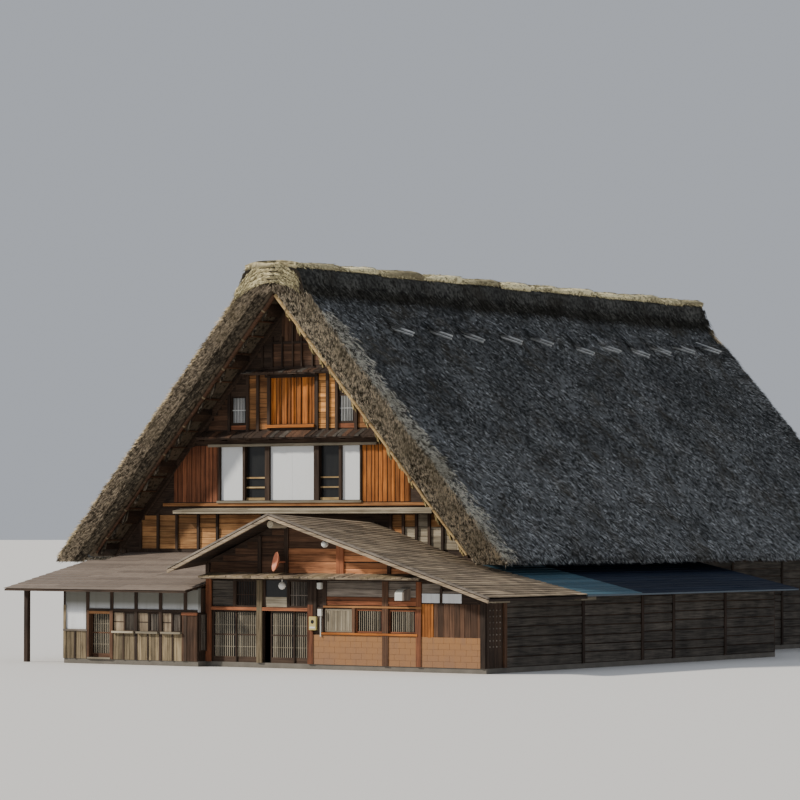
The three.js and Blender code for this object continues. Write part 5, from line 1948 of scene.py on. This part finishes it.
def aisle_roof():
    """Courses of dark sheet on the aisle roof, newer ones at the front."""
    rng = random.Random("aisle roof")
    shape = Shape()
    line = RIGHT_BACK[1:]
    for i in range(AISLE_COURSES):
        x0 = 10.6 - 3.95 * i / AISLE_COURSES
        x1 = max(10.6 - 3.95 * (i + 1) / AISLE_COURSES - 0.02, 6.652)
        for y0, y1 in ((0.0, 3.0), (3.0, 6.2), (6.2, 9.4), (9.4, 12.5)):
            newer = y0 == 0.0
            lift = rng.uniform(0.0, 0.004) + (0.004 if newer else 0.0)
            z0, z1 = slope_height(line, x0) + (lift - 0.002), slope_height(line, x1) - 0.012 + lift
            low = [(x0, y0, z0 - 0.02), (x0, y1, z0 - 0.02), (x1, y1, z1 - 0.02), (x1, y0, z1 - 0.02)]
            shape.slab(low, 0.018, "teal sheet" if newer else "blue sheet")
    low = [(6.66, 0.005, 2.965), (10.58, 0.005, 2.09), (10.58, 12.49, 2.09), (6.66, 12.49, 2.965)]
    shape.slab(low, 0.05, "smoky y")
    # Lighter strip along the eave: a painted highlight on the sheet edge.
    shape.block((10.55, 0.0, 2.1), (10.6, 12.5, 2.15), "sheet edge highlight")
    shape.make("aisle_roof_sheets", ["aisle_roof"], slot="sheet")


def aisle_walls():
    """Board walls of the aisle between posts, and the plain rear walls."""
    rng = random.Random("aisle walls")
    shape = Shape()
    AISLE.upright_boards(shape, -4.19, -3.38, FLOOR_TOP, 2.1, "smoky z", rng, 0.2, 0.02)
    for i in range(4):
        for j in range(7):
            a, z = -4.05 + i * 0.17, 0.75 + j * 0.17
            AISLE.block(shape, a - 0.02, a + 0.02, z - 0.02, z + 0.02, 0.018, 0.03, "grey z")
    for left, right in ((-3.22, 0.74), (0.86, 4.04), (4.16, 5.84), (5.96, 8.94), (9.06, 12.1)):
        # The aisle boards' dark finish holds painted shade under the eave.
        AISLE.flat_boards(shape, left, right, FLOOR_TOP, 2.12, "shaded_sooty y", rng, 0.28, 0.045, gap=0.04)
    for a in (-3.3, 0.8, 4.1, 5.9, 9.0):
        AISLE.post(shape, a, 0.14, FLOOR_TOP, 2.15, 0.06, "umber z" if a == -3.3 else "smoky z")
    for left, right in ((-4.15, -3.45), (0.3, 1.1)):
        AISLE.block(shape, left, right, 1.98, 2.1, 0.04, 0.3, "pale y")
    AISLE_END.flat_boards(shape, 6.7, 9.88, FLOOR_TOP, 2.1, "shaded_sooty x", rng, 0.28, 0.045, gap=0.04)
    shape.make("aisle_boards", slot="boards")

    rear = Shape()
    for left, right in ((12.3, 15.1), (15.2, 18.4), (18.5, 21.75)):
        RIGHT_REAR.flat_boards(rear, left, right, FLOOR_TOP, 2.95, "shaded_sooty y", rng, 0.28, 0.04, gap=0.03)
    for a in (12.27, 15.15, 18.45, 21.78):
        RIGHT_REAR.block(rear, a - 0.07, a + 0.05, FLOOR_TOP, 3.1, 0.0, 0.06, "smoky z")
    for i in range(7):
        left = -6.6 + i * 1.9
        BACK.flat_boards(rear, left, min(left + 1.84, 6.6), FLOOR_TOP, 3.3, "grey x", rng, 0.26, 0.03)
        BACK.block(rear, left - 0.05, left + 0.07, FLOOR_TOP, 3.36, 0.0, 0.06, "smoky z")
    BACK.block(rear, -6.65, 6.65, 3.3, 3.42, 0.0, 0.07, "smoky x")
    rear.make("rear_boards", slot="boards")


def left_side():
    """Plaster, posts, wainscot and windows of the left wall and the front corner."""
    rng = random.Random("left side")
    shape = Shape()
    for i in range(13):
        a = 0.06 + i * 1.805
        LEFT.block(shape, a - 0.05, a + 0.07, FLOOR_TOP, 3.42, 0.0, 0.04, "smoky z")
    LEFT.block(shape, 0.0, LENGTH, 1.92, 2.0, 0.0, 0.045, "smoky y")
    LEFT.block(shape, 0.0, LENGTH, 3.3, 3.42, 0.0, 0.05, "smoky y")
    LEFT.upright_boards(shape, 0.05, LENGTH - 0.05, FLOOR_TOP, 0.97, "khaki z", rng, 0.22, 0.025)
    LEFT.block(shape, 0.0, LENGTH, 0.95, 1.0, 0.0, 0.06, "grey y")
    low, high = 1.005, 1.895
    for i in range(6):
        left = 2.205 + i * 3.4
        for a0, a1 in ((left, left + 0.84), (left + 0.85, left + 1.69)):
            LEFT.lattice(shape, a0, a1, low, high, 9, (1.45,), "grey", "smoky", -0.01)
        # Paper of painted shade behind the lattices.
        LEFT.block(shape, left, left + 1.69, low, high, -0.1, -0.07, "shaded paper")
    WING_SIDE.block(shape, -4.58, -0.02, 1.58, 1.66, 0.0, 0.04, "smoky y")
    for a in (-4.5, -3.3, -2.2, -1.1, -0.1):
        WING_SIDE.post(shape, a, 0.12, FLOOR_TOP, wing_roof_height(a) - 0.12, 0.04, "smoky z")
    WING_SIDE.upright_boards(shape, -4.5, -0.1, FLOOR_TOP, 0.97, "khaki z", rng, 0.22, 0.025)
    FRONT.upright_boards(shape, -6.64, -5.2, FLOOR_TOP, 0.97, "khaki z", rng, 0.22, 0.025)
    FRONT.block(shape, -6.65, -6.5, FLOOR_TOP, 3.4, 0.0, 0.04, "smoky z")
    shape.make("left_side_timbers", ["left_wall_screen"], slot="darkTimber")


class FARMHOUSE_OT_sides(bpy.types.Operator):
    """Dresses the aisle, its sheet roof and the plain sides"""

    bl_idname = "farmhouse.sides"
    bl_label = "Aisle and sides"

    def execute(self, context):
        aisle_roof()
        aisle_walls()
        left_side()
        paint("smoky y", "aisle_wall", "right_wall_back", "aisle_end_wall")
        paint("smoky x", "back_wall")
        paint("lime plaster", "left_wall")
        paint("smoky z", "front_corner_wall")
        return {"FINISHED"}


HOOD_STEPS = 7


def hood():
    """A white vent hood with a curved top and a grey frame at its right."""
    low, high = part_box("vent_hood")
    shape = Shape()
    split = high.x - 0.06
    depth, tall = high.y - low.y, high.z - low.z
    ring = [(high.y, low.z + 0.01), (low.y, low.z + 0.01)]
    for i in range(HOOD_STEPS + 1):
        turn = math.pi / 2 * i / HOOD_STEPS
        ring.append((high.y - depth * math.cos(turn), low.z + tall * 0.55 + tall * 0.43 * math.sin(turn)))
    faces = end_faces(2, len(ring)) + tube_faces(2, len(ring))
    for x0, x1, finish in ((low.x, split, "casing paint"), (split + 0.004, high.x, "grey z")):
        shape.add([(x, y, z) for x in (x0, x1) for y, z in ring], faces, finish)
    # A dark strip of painted shade in the hood's opening.
    shape.block((low.x + 0.03, low.y, low.z), (split - 0.03, high.y - 0.03, low.z + 0.012), "dark glass and shade")
    shape.make("vent_hood_casing", ["vent_hood"], slot="white")


def meter():
    """A yellow box with a dark round window, a pipe and a small white box."""
    low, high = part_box("meter_box")
    box = Shape()
    x = (low.x + high.x) / 2
    z = high.z - 0.15
    box.block((low.x, low.y + 0.004, low.z), (high.x, high.y, high.z), "box paint")
    box.rod((x, low.y + 0.006, z), (x, low.y + 0.001, z), 0.06, "dark glass and shade", 14)
    label = (low.x + 0.03, low.y + 0.001, low.z + 0.05), (high.x - 0.03, low.y + 0.006, low.z + 0.1)
    box.block(*label, "casing paint")
    box.make("meter_box_casing", ["meter_box"], slot="white", bevel=0.008)

    pipes = Shape()
    pipes.block((4.15, -4.33, 1.54), (4.28, -4.22, 1.74), "casing paint")
    pipes.rod((4.215, -4.26, 0.95), (4.215, -4.26, 1.55), 0.022, "casing paint", 8)
    pipes.make("meter_pipes", slot="white", bevel=0.004)


def lamp():
    """A small lamp on the entrance wall."""
    shape = Shape()
    shape.block((4.14, -4.36, 2.33), (4.28, -4.22, 2.5), "casing paint")
    shape.block((4.155, -4.345, 2.31), (4.265, -4.235, 2.335), "globe")
    shape.make("wall_lamp", slot="white", bevel=0.01)


class FARMHOUSE_OT_fittings(bpy.types.Operator):
    """Makes the vent hood, the meter box and the wall lamp, and paints the dish and the globe"""

    bl_idname = "farmhouse.fittings"
    bl_label = "Fittings"

    def execute(self, context):
        hood()
        meter()
        lamp()
        paint("dish paint", "satellite_dish")
        paint("globe", "globe_lamp")
        return {"FINISHED"}


CAMERA_PLACE = (65.83, -87.90, 4.15)
CAMERA_YAW = math.radians(35.12)
CAMERA_PITCH = math.radians(1.988)
CAMERA_LENS = 162.26


class FARMHOUSE_OT_stage(bpy.types.Operator):
    """Makes the pale floor, the soft light and the camera"""

    bl_idname = "farmhouse.stage"
    bl_label = "Stage"

    def execute(self, context):
        settings = look("stage")
        _, shader = start_material("pale floor", 0.9)
        shader.inputs["Base Color"].default_value = rgba(settings.floor)
        bpy.ops.mesh.primitive_circle_add(vertices=96, radius=900, fill_type="NGON", location=(0, 8, -0.002))
        floor = context.object
        floor.name = "stage_floor"
        floor.data.materials.append(FINISHES["pale floor"])

        world = bpy.data.worlds.new("Soft sky")
        world.use_nodes = True
        background = world.node_tree.nodes["Background"]
        background.inputs["Color"].default_value = (0.86, 0.91, 1.0, 1)
        background.inputs["Strength"].default_value = settings.sky
        context.scene.world = world

        sun = bpy.data.lights.new("Key", "SUN")
        sun.energy = settings.key
        sun.color = (1.0, 0.93, 0.82)
        sun.angle = math.radians(4)
        key = bpy.data.objects.new("Key", sun)
        key.rotation_mode = "QUATERNION"
        key.rotation_quaternion = Vector((-0.69, -0.48, 0.54)).to_track_quat("Z", "Y")
        context.scene.collection.objects.link(key)

        data = bpy.data.cameras.new("Camera")
        data.lens = CAMERA_LENS
        data.sensor_width = 36
        data.clip_start, data.clip_end = 1, 3000
        camera = bpy.data.objects.new("Camera", data)
        camera.location = CAMERA_PLACE
        camera.rotation_euler = (math.pi / 2 + CAMERA_PITCH, 0, CAMERA_YAW)
        context.scene.collection.objects.link(camera)
        context.scene.camera = camera
        return {"FINISHED"}


LOOKS = (
    ("thatch", ThatchLook),
    ("timber", TimberLook),
    ("wall", WallLook),
    ("sheet", SheetLook),
    ("stage", StageLook),
)
OPERATORS = (
    FARMHOUSE_OT_thatch,
    FARMHOUSE_OT_ridge,
    FARMHOUSE_OT_poles,
    FARMHOUSE_OT_gables,
    FARMHOUSE_OT_entrance,
    FARMHOUSE_OT_doors,
    FARMHOUSE_OT_wing,
    FARMHOUSE_OT_sides,
    FARMHOUSE_OT_fittings,
    FARMHOUSE_OT_stage,
)


class FARMHOUSE_PT_panel(bpy.types.Panel):
    """Lists the steps that dress the farmhouse"""

    bl_idname = "FARMHOUSE_PT_panel"
    bl_label = "Farmhouse"
    bl_space_type = "VIEW_3D"
    bl_region_type = "UI"
    bl_category = "Farmhouse"

    def draw(self, context):
        for operator in OPERATORS:
            self.layout.operator(operator.bl_idname)
        for name, kind in LOOKS:
            box = self.layout.box()
            box.label(text=name.capitalize())
            for key in kind.__annotations__:
                box.prop(look(name), key)


def register():
    """Registers the looks, the operators and the panel."""
    for name, kind in LOOKS:
        bpy.utils.register_class(kind)
        setattr(bpy.types.Scene, "farmhouse_" + name, PointerProperty(type=kind))
    for kind in (*OPERATORS, FARMHOUSE_PT_panel):
        bpy.utils.register_class(kind)


def unregister():
    """Removes what register added."""
    for kind in (FARMHOUSE_PT_panel, *reversed(OPERATORS)):
        bpy.utils.unregister_class(kind)
    for name, kind in LOOKS:
        delattr(bpy.types.Scene, "farmhouse_" + name)
        bpy.utils.unregister_class(kind)


def main():
    """Dresses the farmhouse."""
    register()
    make_finishes()
    for operator in OPERATORS:
        group, step = operator.bl_idname.split(".")
        getattr(getattr(bpy.ops, group), step)()


if __name__ == "__main__":
    main()
